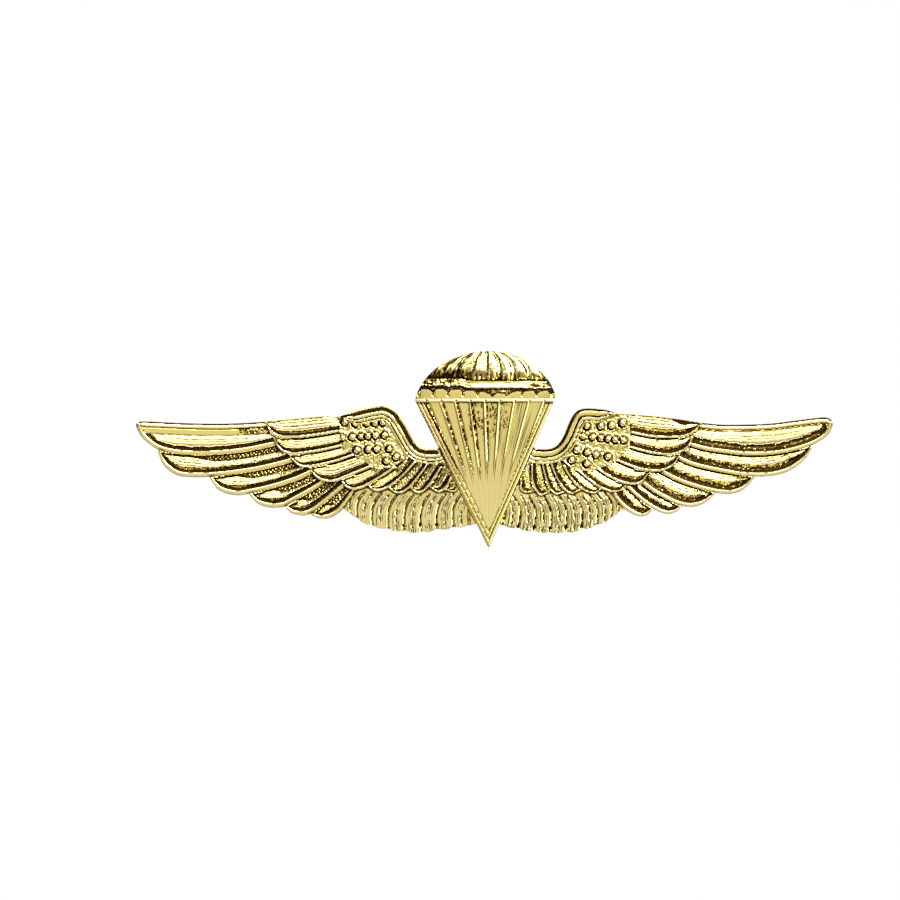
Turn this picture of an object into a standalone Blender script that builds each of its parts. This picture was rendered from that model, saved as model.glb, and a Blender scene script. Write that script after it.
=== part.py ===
"""Parachutist wings badge: two spread wings with an open parachute between them, worn on cloth.

The badge stands upright as it is worn: the front faces -Y, +X is to the viewer's right and +Z is up.
The origin is the middle of the flat seat on the back, so the cloth lies in the plane y = 0.
All sizes below are millimetres, and points are (x, z) seen from the front.
"""

import math

import bmesh
import bpy
from mathutils import Vector
from mathutils.geometry import delaunay_2d_cdt

MM = 0.001

# Heights of the struck front, measured forward from the cloth plane.
EDGE_HEIGHT = 0.90
PRIMARY_VALLEY = 0.95
PRIMARY_RIDGE = 1.35
COVERT_VALLEY = 1.30
COVERT_RIDGE = 1.70
SHORT_VALLEY = 0.95
SHORT_RIDGE = 1.20
SCALE_GROUND = 1.55
BEAD_HEIGHT = 1.95
BAND_RIDGE = 1.95
SEAT_HEIGHT = 0.90

# Distances across a feather, from its lower edge.
RIM_CREST = 0.25
RIM_FOOT = 0.55
EDGE_CLEARANCE = 0.18

# The parachute, a second striking fixed on the wings' seat.
SEAT_MARGIN = 0.15
BACKING_INSET = 0.35
CANOPY_HALF_WIDTH = 7.0
CANOPY_TOP = 11.25
HEM_Z = 6.35
CANOPY_RIM_HEIGHT = 1.60
CANOPY_DOME = 1.30
GORE_COUNT = 9
GORE_GROOVE = 0.18
LINE_RIDGE = 2.00
LINE_VALLEY = 1.70
LINE_TIP = (0.40, -8.25)

# The back.
BACK_HOLLOW = 0.08
BACK_SEAT_HALF = 3.0
BACK_SEAT_SLOPE = 0.4

# Two nail posts and their butterfly clutches.
POST_X = 12.2
PAD_RADIUS = 2.30
PAD_THICKNESS = 0.50
SOLDER_RADIUS = 2.90
SHANK_RADIUS = 0.55
GROOVE_RADIUS = 0.42
GROOVE_Y = 6.0
SHANK_END_Y = 7.3
POINT_Y = 8.6
HOLE_RADIUS = 0.63
CLUTCH_RADIUS = 4.75
CLUTCH_WALL = 0.35
CLUTCH_BACK_Y = 1.45
BASE_Y = 1.80
BASE_THICKNESS = 0.30
COVER_TOP_Y = 4.20
BOSS_TOP_Y = 4.90
PIVOT_X = 2.65
PIVOT_Y = 4.00
SLOT_WIDTH = 0.64
SLOT_LENGTH = 3.90
LEAF_THICKNESS = 0.25
NOTCH_RADIUS = 0.60
SPRING_WIRE = 0.20
SPRING_Y = 2.95
SPRING_HALF_X = 3.30
SPRING_HALF_Z = 3.90
ROUND_SEGMENTS = 24

# Clear space between neighbouring pieces.
GAP = 0.05

LEFT_WING = {
    "top": [(-34.5, 3.85), (-34.4, 4.15), (-34.05, 4.3), (-33.15, 4.3), (-31, 4.2), (-28.2, 4.1),
            (-25.2, 4.1), (-21.55, 4.3), (-18.3, 4.6), (-15.8, 4.8), (-14.6, 4.75), (-13.35, 5.15),
            (-12.15, 5.5), (-10.95, 5.75), (-10.05, 5.85), (-9.25, 5.6), (-8.55, 5.05), (-7.9, 4.05),
            (-7.3, 3), (-6.8, 2.15), (-6.3, 1.7), (-5.4, 1.55), (-4.7, 1.6)],
    "primaries": [
        [(-34.5, 3.85), (-34.15, 3.05), (-33.45, 2.3), (-32.35, 1.55), (-30.65, 1.1), (-28.2, 0.95),
         (-25.7, 1.05), (-23.25, 1.35), (-20.65, 1.9)],
        [(-32.3, 1.4), (-32.05, 0.5), (-31.55, -0.25), (-30.75, -0.85), (-29.8, -1.15), (-27.7, -1.2),
         (-25.7, -1.05), (-23.75, -0.8), (-22.05, -0.5), (-19.75, 0.05), (-18.5, 0.5)],
        [(-27.15, -1.3), (-26.5, -2.3), (-25.6, -2.8), (-24.35, -3), (-23.05, -2.8), (-21.25, -2.4),
         (-19.55, -1.9), (-18.3, -1.45), (-16.9, -0.8)],
        [(-23.15, -3.05), (-22.55, -3.75), (-21.35, -4.2), (-19.95, -4.15), (-19, -3.7),
         (-17.9, -3.1), (-16.7, -2.4), (-15.5, -1.55)],
        [(-19.55, -4.35), (-19, -4.8), (-17.9, -5), (-17, -4.7), (-15.9, -3.9), (-14.8, -3),
         (-13.75, -2.15)],
        [(-17.05, -5), (-16.3, -5.3), (-15.4, -5.25), (-14.5, -4.8), (-13.75, -4), (-13.05, -2.95),
         (-12.65, -2.4)],
    ],
    "coverts": [
        [(-21.7, 4.15), (-21.25, 3.35), (-20.55, 2.8), (-19.55, 2.65), (-18, 2.7), (-16.1, 2.95),
         (-14.4, 3.25)],
        [(-20.85, 2.5), (-20.35, 1.6), (-19.65, 1.15), (-18.7, 1), (-17.1, 1.2), (-15.7, 1.45),
         (-14.2, 1.8)],
        [(-19.15, 0.65), (-18.6, 0.05), (-17.9, -0.25), (-16.7, -0.15), (-15.1, 0.2), (-13.8, 0.6),
         (-12.65, 1)],
        [(-17.15, -0.65), (-16.6, -1.3), (-15.8, -1.65), (-14.7, -1.65), (-13.65, -1.25),
         (-12.55, -0.8), (-11.35, -0.3)],
        [(-14.05, -1.75), (-13.65, -2.25), (-12.85, -2.45), (-11.85, -2.2), (-10.85, -1.6),
         (-9.85, -1.05), (-8.95, -0.4)],
        [(-11.5, -2.05), (-11.05, -2.5), (-10.25, -2.55), (-9.35, -2.15), (-8.35, -1.4),
         (-7.6, -0.7), (-6.9, 0.1)],
        [(-9.4, -2.35), (-8.85, -2.75), (-8.2, -2.8), (-7.4, -2.3), (-6.7, -1.5), (-6.1, -0.75),
         (-5.5, 0.1)],
        [(-7.35, -2.3), (-6.8, -2.75), (-6.1, -2.7), (-5.4, -2.05), (-4.8, -1.2), (-4.3, -0.4)],
    ],
    "short_tops": [(-12.6, -2.75), (-10.4, -2.95), (-8.4, -3.15), (-6.4, -3.1), (-4.4, -3.05), (-2.6, -3)],
    "short_bottoms": [(-13.4, -4.7), (-12.65, -5.25), (-11.55, -5.9), (-9.95, -6.3), (-8.2, -6.55),
                      (-6.4, -6.65), (-4.6, -6.4), (-2.9, -6.2), (-1.25, -5.95)],
    "band": [(-13.6, 4.7), (-12.1, 5.05), (-10.9, 5.3), (-10.1, 5.3), (-9.5, 5), (-8.9, 4.3),
             (-8.2, 3.1), (-7.4, 1.9), (-6.7, 1.15), (-5.6, 1), (-4.7, 1.05)],
    "bead_rows": [((-12.75, 3.85), (-10.05, 3.85), 4), ((-13.0, 2.8), (-9.7, 2.9), 4),
                  ((-12.2, 1.5), (-9.3, 1.65), 3), ((-10.1, 0.4), (-8.6, 0.9), 2)],
}

RIGHT_WING = {
    "top": [(34.45, 3.95), (34.35, 4.4), (33.85, 4.7), (32.75, 4.65), (30.75, 4.4), (28.3, 4.1),
            (25.8, 4), (23.35, 4), (21.35, 4.2), (19.35, 4.5), (16.9, 4.8), (14.4, 5), (13.25, 5.1),
            (11.95, 5.45), (10.45, 5.6), (9.45, 5.5), (8.85, 5.05), (8.35, 4.15), (7.9, 3.05),
            (7.4, 2.2), (6.8, 1.7), (6, 1.55), (5.1, 1.6)],
    "primaries": [
        [(34.45, 3.95), (34.15, 3.2), (33.45, 2.55), (32.45, 2), (31.05, 1.5), (29.5, 1.15),
         (27.6, 0.95), (25.8, 0.95), (23.85, 1.15), (21.85, 1.45), (20.35, 1.85)],
        [(32.35, 1.6), (31.85, 0.75), (31.05, 0), (30.1, -0.6), (28.8, -1), (27.1, -1.15),
         (25.3, -1.05), (23.55, -0.75), (21.85, -0.4), (20.35, 0), (19, 0.6)],
        [(26.65, -1.3), (26.1, -2), (25.3, -2.6), (24.35, -2.85), (23.15, -2.8), (21.55, -2.45),
         (19.95, -1.95), (18.5, -1.35), (17.1, -0.6)],
        [(22.75, -2.95), (22.05, -3.55), (21.35, -3.95), (20.45, -4.15), (19.35, -4), (18.2, -3.55),
         (16.9, -2.85), (15.7, -2)],
        [(19.45, -4.15), (18.9, -4.65), (18.1, -4.85), (17.2, -4.6), (16.2, -4.05), (15.2, -3.3),
         (14.2, -2.4)],
        [(16.5, -4.55), (16, -5), (15.2, -5.05), (14.3, -4.65), (13.45, -3.95), (12.65, -2.95),
         (12.35, -2.5)],
    ],
    "coverts": [
        [(21.45, 4.05), (20.75, 3.3), (19.85, 2.8), (18.4, 2.65), (16.4, 2.75), (14.4, 3.15)],
        [(20.55, 2.5), (20.15, 1.75), (19.35, 1.2), (18.2, 0.95), (16.4, 1.15), (14.5, 1.65)],
        [(19.25, 0.8), (18.8, 0.05), (17.9, -0.5), (16.6, -0.65), (14.9, -0.35), (13.15, 0.35)],
        [(16.2, -0.9), (15.7, -1.6), (14.9, -1.95), (13.65, -1.8), (12.25, -1.2), (11.05, -0.4)],
        [(13.9, -2.15), (13.35, -2.6), (12.45, -2.65), (11.35, -2.25), (10.25, -1.5), (9.15, -0.6)],
        [(11.55, -2.4), (10.95, -2.8), (10.15, -2.7), (9.25, -2.15), (8.45, -1.3), (7.8, -0.2)],
        [(9.35, -2.55), (8.65, -2.85), (8, -2.6), (7.3, -1.7), (6.8, -0.7), (6.4, 0.3)],
        [(7.7, -2.75), (7.1, -2.95), (6.5, -2.5), (6, -1.4), (5.6, 0.2)],
    ],
    "short_tops": [(12.3, -2.85), (10.6, -3.1), (8.6, -3.2), (6.8, -3.25), (5.2, -3.3), (3.4, -3.2)],
    "short_bottoms": [(13.25, -4.7), (12.15, -5.5), (10.95, -6), (9.65, -6.4), (8.25, -6.65),
                      (6.5, -6.7), (4.7, -6.55), (3, -6.25), (1.55, -5.9)],
    "band": [(13, 4.75), (11.9, 5), (10.5, 5.15), (9.7, 5), (9.3, 4.5), (8.75, 3.3), (8.2, 2.1),
             (7.5, 1.35), (6.6, 1.05), (5.2, 1.05)],
    "bead_rows": [((10.25, 3.95), (12.6, 3.9), 3), ((9.65, 2.7), (12.9, 2.6), 4),
                  ((9.35, 1.5), (12.1, 1.0), 3), ((8.5, 0.65), (9.9, 0.1), 2)],
}

CANOPY = [(-6.85, 6.35), (-6.7, 7.05), (-6.3, 7.85), (-5.7, 8.7), (-5, 9.4), (-4.2, 9.95), (-3.2, 10.45),
          (-2.15, 10.85), (-0.95, 11.15), (0.25, 11.25), (1.45, 11.15), (2.75, 10.85), (3.8, 10.4),
          (4.8, 9.8), (5.7, 9.05), (6.4, 8.25), (6.85, 7.35), (6.95, 6.75), (6.85, 6.35)]


# ---------------------------------------------------------------- curves in the badge's plane


def spline(points, step):
    """A Catmull-Rom curve through the points, with a point about every step."""
    ends = [points[0]] + list(points) + [points[-1]]
    curve = []
    for a, b, c, d in zip(ends, ends[1:], ends[2:], ends[3:]):
        count = max(1, round(math.dist(b, c) / step))
        for i in range(count):
            t = i / count
            curve.append(tuple(
                0.5 * (2 * q + (r - p) * t + (2 * p - 5 * q + 4 * r - s) * t * t
                       + (3 * q - p - 3 * r + s) * t ** 3)
                for p, q, r, s in zip(a, b, c, d)))
    curve.append(tuple(points[-1]))
    return curve


def nearest(point, curve):
    return min(curve, key=lambda q: math.dist(point, q))


def toward(curve, other, distance):
    """Each point of the curve moved towards the other curve, where the two are far enough apart."""
    moved = []
    for p in curve:
        q = nearest(p, other)
        room = math.dist(p, q)
        if room > 2 * distance:
            moved.append(tuple(a + (b - a) * distance / room for a, b in zip(p, q)))
    return moved


def at_fraction(curve, fraction):
    """The point at a fraction of the curve's length."""
    lengths = [math.dist(a, b) for a, b in zip(curve, curve[1:])]
    left = fraction * sum(lengths)
    for (a, b), length in zip(zip(curve, curve[1:]), lengths):
        if left <= length:
            return tuple(p + (q - p) * left / length for p, q in zip(a, b))
        left -= length
    return curve[-1]


def inside(point, outline):
    """Whether the point is inside the closed outline."""
    x, z = point
    crossings = False
    for (x1, z1), (x2, z2) in zip(outline, outline[1:] + outline[:1]):
        if (z1 > z) != (z2 > z) and x < x1 + (z - z1) * (x2 - x1) / (z2 - z1):
            crossings = not crossings
    return crossings


def edge_distance(point, outline):
    """Distance from the point to the closed outline."""
    best = math.inf
    for a, b in zip(outline, outline[1:] + outline[:1]):
        along = Vector(b) - Vector(a)
        t = (Vector(point) - Vector(a)).dot(along) / max(along.length_squared, 1e-12)
        best = min(best, (Vector(point) - Vector(a) - along * min(1, max(0, t))).length)
    return best


def grown(outline, distance):
    """The counter-clockwise outline moved outwards, or inwards where distance is negative."""
    moved = []
    for before, p, after in zip(outline[-1:] + outline[:-1], outline, outline[1:] + outline[:1]):
        first = (Vector(p) - Vector(before)).normalized()
        second = (Vector(after) - Vector(p)).normalized()
        bisector = first + second
        normal = Vector((bisector.y, -bisector.x)).normalized()
        reach = distance / max(0.5, normal.dot(Vector((first.y, -first.x))))
        moved.append((p[0] + normal.x * reach, p[1] + normal.y * reach))
    return moved


def counter_clockwise(outline):
    area = sum(a[0] * b[1] - b[0] * a[1] for a, b in zip(outline, outline[1:] + outline[:1]))
    return outline if area > 0 else outline[::-1]


def parachute_outline(step):
    """Canopy over the fan of suspension lines, as one closed outline."""
    canopy = spline(CANOPY, step)
    right_line = spline([CANOPY[-1], LINE_TIP], step)
    left_line = spline([LINE_TIP, CANOPY[0]], step)
    return counter_clockwise(canopy + right_line[1:] + left_line[1:-1])


def wing_lower_edge(wing, step):
    """The outer edge under a wing, from its tip to the fan: feather by feather."""
    edges = [spline(points, step) for points in wing["primaries"]]
    bottoms = spline(wing["short_bottoms"], step)
    path = []
    for edge, following in zip(edges, edges[1:] + [bottoms]):
        end = edge.index(nearest(following[0], edge))
        path += edge[:end]
    return path + bottoms


def badge_outline(step):
    """Both wings, with a backing under the parachute that is a little smaller than it."""
    parachute = parachute_outline(step)
    backing = [p for p in grown(parachute, -BACKING_INSET)[::-1]
               if edge_distance(p, parachute) > 0.9 * BACKING_INSET]
    left_top = spline(LEFT_WING["top"], step)
    right_top = spline(RIGHT_WING["top"], step)
    left_lower = wing_lower_edge(LEFT_WING, step)
    right_lower = wing_lower_edge(RIGHT_WING, step)

    def run(start, end):
        first = backing.index(nearest(start, backing))
        last = backing.index(nearest(end, backing))
        return backing[first:last] if first < last else backing[first:] + backing[:last]

    over_top = run(left_top[-1], right_top[-1])
    under_tip = run(right_lower[-1], left_lower[-1])
    return counter_clockwise(
        left_top + over_top + right_top[::-1] + right_lower[1:] + under_tip + left_lower[:0:-1])


# ---------------------------------------------------------------- solids


def new_object(name, bm, material, location=(0, 0, 0), parent=None):
    """An object from a bmesh built in millimetres."""
    bmesh.ops.scale(bm, verts=bm.verts, vec=(MM, MM, MM))
    bmesh.ops.recalc_face_normals(bm, faces=bm.faces)
    mesh = bpy.data.meshes.new(name)
    bm.to_mesh(mesh)
    bm.free()
    mesh.materials.append(material)
    obj = bpy.data.objects.new(name, mesh)
    obj.location = Vector(location) * MM
    obj.parent = parent
    bpy.context.scene.collection.objects.link(obj)
    return obj


def triangulated(outline, lines):
    """Triangles inside the outline that keep the lines as edges, with a height for each point."""
    points = [Vector(p) for p in outline]
    heights = [None] * len(points)
    edges = []
    for line, height in lines:
        start = len(points)
        points += [Vector(p) for p in line]
        heights += [height] * len(line)
        edges += [(start + i, start + i + 1) for i in range(len(line) - 1)]
    corners = [list(range(len(outline)))]
    verts, _, faces, sources, _, _ = delaunay_2d_cdt(points, edges, corners, 1, 1e-4)
    found = [next((heights[s] for s in source if heights[s] is not None), None) for source in sources]
    return verts, faces, found


def relief(bm, outline, lines, height_of, back_of, back_lines=()):
    """A closed body: a struck front over the outline, a back, and a wall between them."""
    verts, faces, heights = triangulated(outline, lines)
    front = [bm.verts.new((v.x, -height_of((v.x, v.y), h), v.y)) for v, h in zip(verts, heights)]
    for face in faces:
        bm.faces.new([front[i] for i in face])
    rim = [e for e in bm.edges if e.is_boundary]
    rim_verts = {v for e in rim for v in e.verts}
    back_outline = loop_points(rim)
    verts, faces, _ = triangulated([(v.co.x, v.co.z) for v in back_outline], back_lines)
    back = [bm.verts.new((v.x, back_of((v.x, v.y)), v.y)) for v in verts]
    for face in faces:
        bm.faces.new([back[i] for i in face][::-1])
    partner = {f: min(back, key=lambda b: (b.co.x - f.co.x) ** 2 + (b.co.z - f.co.z) ** 2)
               for f in rim_verts}
    for edge in rim:
        a, b = edge.verts
        bm.faces.new([a, b, partner[b], partner[a]])


def loop_points(edges):
    """The vertices round a closed loop of edges, in order."""
    after = {}
    for edge in edges:
        a, b = edge.verts
        after.setdefault(a, []).append(b)
        after.setdefault(b, []).append(a)
    start = edges[0].verts[0]
    loop = [start, after[start][0]]
    while loop[-1] != start:
        a, b = after[loop[-1]]
        loop.append(b if a == loop[-2] else a)
    return loop[:-1]


def turned(name, profile, material, closed, location=(0, 0, 0), parent=None):
    """A round body about the Y axis. Profile points are (radius, y)."""
    bm = bmesh.new()
    rings = []
    for radius, y in profile:
        if radius == 0:
            rings.append([bm.verts.new((0, y, 0))])
            continue
        angles = [2 * math.pi * i / ROUND_SEGMENTS for i in range(ROUND_SEGMENTS)]
        rings.append([bm.verts.new((radius * math.cos(a), y, radius * math.sin(a))) for a in angles])
    pairs = list(zip(rings, rings[1:])) + ([(rings[-1], rings[0])] if closed else [])
    for one, other in pairs:
        for i in range(ROUND_SEGMENTS):
            j = (i + 1) % ROUND_SEGMENTS
            corners = [one[i % len(one)], one[j % len(one)], other[j % len(other)], other[i % len(other)]]
            bm.faces.new(list(dict.fromkeys(corners)))
    obj = new_object(name, bm, material, location, parent)
    obj.data.shade_smooth()
    obj.data.set_sharp_from_angle(angle=math.radians(35))
    return obj


# ---------------------------------------------------------------- the wings


def feather_lines(edges, upper, valley, ridge):
    """Rim, valley and ridge along each feather. Upper is the edge above the first feather."""
    lines = []
    for edge in edges:
        curve = spline(edge, 0.8)
        above = spline(upper, 0.4)
        lines.append((toward(curve, above, RIM_CREST), ridge))
        lines.append((toward(curve, above, RIM_FOOT), valley))
        middle = [(tuple((a + b) / 2 for a, b in zip(p, nearest(p, above)))) for p in curve[1:]]
        lines.append(([m for m, p in zip(middle, curve[1:]) if math.dist(m, p) > 0.8], ridge))
        lines.append((toward(above[::2], curve, GAP * 4), valley))
        upper = edge
    return lines


def short_feather_lines(wing):
    """The row of short feathers hanging below the coverts: a ridge and a valley each."""
    tops = spline(wing["short_tops"], 0.5)
    bottoms = spline(wing["short_bottoms"], 0.5)
    side = math.copysign(1, wing["top"][0][0])
    count = 12
    lines = []
    for k in range(2 * count):
        top = at_fraction(tops, (k + 0.5) / (2 * count))
        bottom = at_fraction(bottoms, (k + 0.5) / (2 * count))
        bow = ((top[0] + bottom[0]) / 2 - side * 0.15, (top[1] + bottom[1]) / 2)
        lines.append((spline([top, bow, bottom], 1.2), SHORT_RIDGE if k % 2 else SHORT_VALLEY))
    return lines


def bead_lines(wing):
    """Each bead is a point with a ring round it."""
    lines = []
    for start, end, count in wing["bead_rows"]:
        for k in range(count):
            x, z = (a + (b - a) * k / max(1, count - 1) for a, b in zip(start, end))
            ring = [(x + 0.36 * math.cos(a), z + 0.36 * math.sin(a))
                    for a in (math.pi * i / 3 for i in range(7))]
            lines.append(([(x, z)], BEAD_HEIGHT))
            lines.append((ring, SCALE_GROUND))
    return lines


def wing_lines(wing):
    top = wing["top"]
    lines = feather_lines(wing["primaries"], top, PRIMARY_VALLEY, PRIMARY_RIDGE)
    lines += feather_lines(wing["coverts"], top, COVERT_VALLEY, COVERT_RIDGE)
    lines += short_feather_lines(wing)
    lines += bead_lines(wing)
    lines.append((spline(wing["band"], 0.8), BAND_RIDGE))
    return lines


def kept_runs(line, keep):
    """The stretches of a line whose points are all kept."""
    runs = [[]]
    for p in line:
        if keep(p):
            runs[-1].append(p)
        else:
            runs.append([])
    return [run for run in runs if run]


def square(half):
    return [(-half, -half), (half, -half), (half, half), (-half, half), (-half, -half)]


def make_wing_plate(material):
    outline = badge_outline(0.7)
    seat = grown(parachute_outline(0.7), SEAT_MARGIN)

    def clear(p):
        return (inside(p, outline) and edge_distance(p, outline) > EDGE_CLEARANCE
                and not inside(p, seat) and edge_distance(p, seat) > EDGE_CLEARANCE)

    lines = []
    for wing in (LEFT_WING, RIGHT_WING):
        for line, height in wing_lines(wing):
            lines += [(run, height) for run in kept_runs(line, clear)]
    lines += [([p], SEAT_HEIGHT) for p in seat
              if inside(p, outline) and edge_distance(p, outline) > GAP]

    def height_of(p, height):
        if inside(p, seat):
            return SEAT_HEIGHT
        return EDGE_HEIGHT if height is None else height

    def back_of(p):
        return 0 if max(abs(p[0]), abs(p[1])) <= BACK_SEAT_HALF + 1e-4 else -BACK_HOLLOW

    bm = bmesh.new()
    back_lines = [(square(BACK_SEAT_HALF), None), (square(BACK_SEAT_HALF + BACK_SEAT_SLOPE), None)]
    relief(bm, outline, lines, height_of, back_of, back_lines)
    return new_object("wing_plate", bm, material)


# ---------------------------------------------------------------- the parachute


def hem_x(k):
    """Where gore boundary k, from 0 to GORE_COUNT, meets the hem."""
    left, right = CANOPY[0][0], CANOPY[-1][0]
    return left + (right - left) * k / GORE_COUNT


def canopy_height(p):
    across = p[0] / (CANOPY_HALF_WIDTH + 0.1)
    up = (p[1] - HEM_Z) / (CANOPY_TOP - HEM_Z + 0.1)
    return CANOPY_RIM_HEIGHT + CANOPY_DOME * math.sqrt(max(0, 1 - across ** 2 - up ** 2))


def canopy_lines():
    """Gore boundaries sunk a little and gore middles on the dome, from the crown to the hem."""
    crown = (0.1, CANOPY_TOP - 0.35)
    lines = []
    for k in range(1, 2 * GORE_COUNT):
        foot = (hem_x(k / 2), HEM_Z + 0.15)
        bulge = 0.18 * foot[0]
        line = [(crown[0] + (foot[0] - crown[0]) * t + bulge * 4 * t * (1 - t),
                 crown[1] + (foot[1] - crown[1]) * t) for t in (0.2, 0.4, 0.6, 0.8, 1)]
        sunk = GORE_GROOVE if k % 2 == 0 else 0
        lines.append((line, sunk))
    return lines


def suspension_lines():
    """Raised cords from the gore boundaries to the tip, with a hollow between each two."""
    lines = []
    for k in range(2 * GORE_COUNT + 1):
        start = (hem_x(k / 2), HEM_Z - 0.15)
        line = [tuple(a + (b - a) * t for a, b in zip(start, LINE_TIP)) for t in (0, 0.2, 0.4, 0.6, 0.8)]
        lines.append((line, LINE_VALLEY if k % 2 else LINE_RIDGE))
    return lines


def make_parachute(material):
    outline = parachute_outline(0.7)

    def clear(p):
        return inside(p, outline) and edge_distance(p, outline) > EDGE_CLEARANCE

    lines = []
    for line, height in canopy_lines() + suspension_lines():
        lines += [(run, height) for run in kept_runs(line, clear)]

    def height_of(p, height):
        if height is None:
            return CANOPY_RIM_HEIGHT
        return canopy_height(p) - height if p[1] > HEM_Z else height

    bm = bmesh.new()
    relief(bm, outline, lines, height_of, lambda p: -SEAT_HEIGHT - GAP)
    return new_object("parachute", bm, material)


# ---------------------------------------------------------------- posts and clutches


def make_post(side, sign, brass, solder):
    """A nail with a flat pad soldered to the back, ringed for the clutch near its point."""
    place = (sign * POST_X, 0, 0)
    start = -BACK_HOLLOW + GAP
    end = start + PAD_THICKNESS
    nail = [(0, start), (PAD_RADIUS, start), (PAD_RADIUS, end - 0.12), (PAD_RADIUS - 0.12, end),
            (SHANK_RADIUS + 0.25, end), (SHANK_RADIUS, end + 0.25), (SHANK_RADIUS, GROOVE_Y),
            (GROOVE_RADIUS, GROOVE_Y + 0.15), (GROOVE_RADIUS, GROOVE_Y + 0.45),
            (SHANK_RADIUS, GROOVE_Y + 0.6), (SHANK_RADIUS, SHANK_END_Y), (0, POINT_Y)]
    turned(side + "_post", nail, brass, False, place)
    ring = [(PAD_RADIUS + GAP, start), (SOLDER_RADIUS, start), (SOLDER_RADIUS - 0.2, start + 0.1),
            (PAD_RADIUS + 0.15, start + 0.3), (PAD_RADIUS + GAP, start + 0.35)]
    turned(side + "_solder", ring, solder, True, place)


def make_cutter(name, parent, x):
    """A box for one slot in the top of a clutch cover."""
    bm = bmesh.new()
    bmesh.ops.create_cube(bm, size=1)
    bmesh.ops.scale(bm, verts=bm.verts, vec=(SLOT_WIDTH, 1.2, SLOT_LENGTH))
    bmesh.ops.scale(bm, verts=bm.verts, vec=(MM, MM, MM))
    mesh = bpy.data.meshes.new(name)
    bm.to_mesh(mesh)
    bm.free()
    cutter = bpy.data.objects.new(name, mesh)
    cutter.location = Vector((x, PIVOT_Y, 0)) * MM
    cutter.parent = parent
    cutter.hide_render = True
    cutter.display_type = "WIRE"
    bpy.context.scene.collection.objects.link(cutter)
    return cutter


def make_cover(side, parent, material):
    """Pressed cover: rolled lip under the base, flat top with two slots, and a boss for the post."""
    r, back, top = CLUTCH_RADIUS, CLUTCH_BACK_Y, COVER_TOP_Y
    inner = r - CLUTCH_WALL
    ceiling = top - CLUTCH_WALL
    lip = BASE_Y - GAP
    profile = [(HOLE_RADIUS, ceiling), (inner - 0.35, ceiling), (inner, ceiling - 0.35), (inner, lip),
               (inner - 0.4, lip), (inner - 0.4, back), (r - 0.2, back), (r, back + 0.2),
               (r, top - 0.6), (r - 0.15, top - 0.25), (r - 0.5, top), (1.5, top), (1.25, top + 0.2),
               (1.1, BOSS_TOP_Y - 0.15), (0.95, BOSS_TOP_Y), (HOLE_RADIUS, BOSS_TOP_Y)]
    cover = turned(side + "_clutch_cover", profile, material, True, parent=parent)
    for name, x in (("inner", -PIVOT_X), ("outer", PIVOT_X)):
        cut = cover.modifiers.new(name + "_slot", "BOOLEAN")
        cut.operation = "DIFFERENCE"
        cut.solver = "EXACT"
        cut.object = make_cutter(f"{side}_{name}_slot_cutter", parent, x)


def make_base(side, parent, material):
    """Base disc held in the cover's lip, with an eyelet that guides the post."""
    edge = CLUTCH_RADIUS - CLUTCH_WALL - GAP
    top = BASE_Y + BASE_THICKNESS
    profile = [(HOLE_RADIUS, BASE_Y), (edge, BASE_Y), (edge, top), (1.35, top), (1.1, top + 0.1),
               (1.0, top + 0.35), (HOLE_RADIUS, top + 0.35)]
    turned(side + "_clutch_base", profile, material, True, parent=parent)


# Rows along a clutch wing: (x from the post, y, half width), from the notch at the post to the grip.
LEAF_ROWS = [(0.30, 3.30, 1.50), (1.20, 3.30, 1.70), (2.10, 3.30, 1.80), (2.50, 3.42, 1.80),
             (2.65, 3.75, 1.80), (2.65, 4.35, 1.80), (2.85, 4.85, 1.95), (3.30, 5.60, 2.35),
             (3.85, 6.35, 2.45), (4.25, 6.80, 2.10), (4.50, 7.05, 1.30)]
LEAF_COLUMNS = [-1, -0.65, -0.35, -0.2, 0, 0.2, 0.35, 0.65, 1]


def make_clutch_wing(name, parent, direction, material):
    """A bent leaf: a notched jaw at the post, a neck through the cover's slot and a grip outside."""
    bm = bmesh.new()
    layers = []
    for face_side in (1, -1):
        layer = []
        for i, (x, y, half) in enumerate(LEAF_ROWS):
            before, after = LEAF_ROWS[max(0, i - 1)], LEAF_ROWS[min(len(LEAF_ROWS) - 1, i + 1)]
            along = Vector((after[0] - before[0], after[1] - before[1])).normalized()
            offset = Vector((-along.y, along.x)) * LEAF_THICKNESS / 2 * face_side
            row = []
            for share in LEAF_COLUMNS:
                z = share * half
                notch = math.sqrt(max(0, NOTCH_RADIUS ** 2 - z * z)) if i == 0 else 0
                place = (max(x, notch) + offset.x - PIVOT_X, y + offset.y - PIVOT_Y, z)
                row.append(bm.verts.new((direction * place[0], place[1], place[2])))
            layer.append(row)
        layers.append(layer)
    front, back = layers
    rows, columns = len(LEAF_ROWS), len(LEAF_COLUMNS)
    for layer in layers:
        for i in range(rows - 1):
            for j in range(columns - 1):
                bm.faces.new([layer[i][j], layer[i + 1][j], layer[i + 1][j + 1], layer[i][j + 1]])
    for i in range(rows - 1):
        for j in (0, columns - 1):
            bm.faces.new([front[i][j], front[i + 1][j], back[i + 1][j], back[i][j]])
    for j in range(columns - 1):
        for i in (0, rows - 1):
            bm.faces.new([front[i][j], front[i][j + 1], back[i][j + 1], back[i][j]])
    pivot = bpy.data.objects.new(name + "_pivot", None)
    pivot.location = Vector((direction * PIVOT_X, PIVOT_Y, 0)) * MM
    pivot.parent = parent
    bpy.context.scene.collection.objects.link(pivot)
    return new_object(name, bm, material, parent=pivot)


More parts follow.
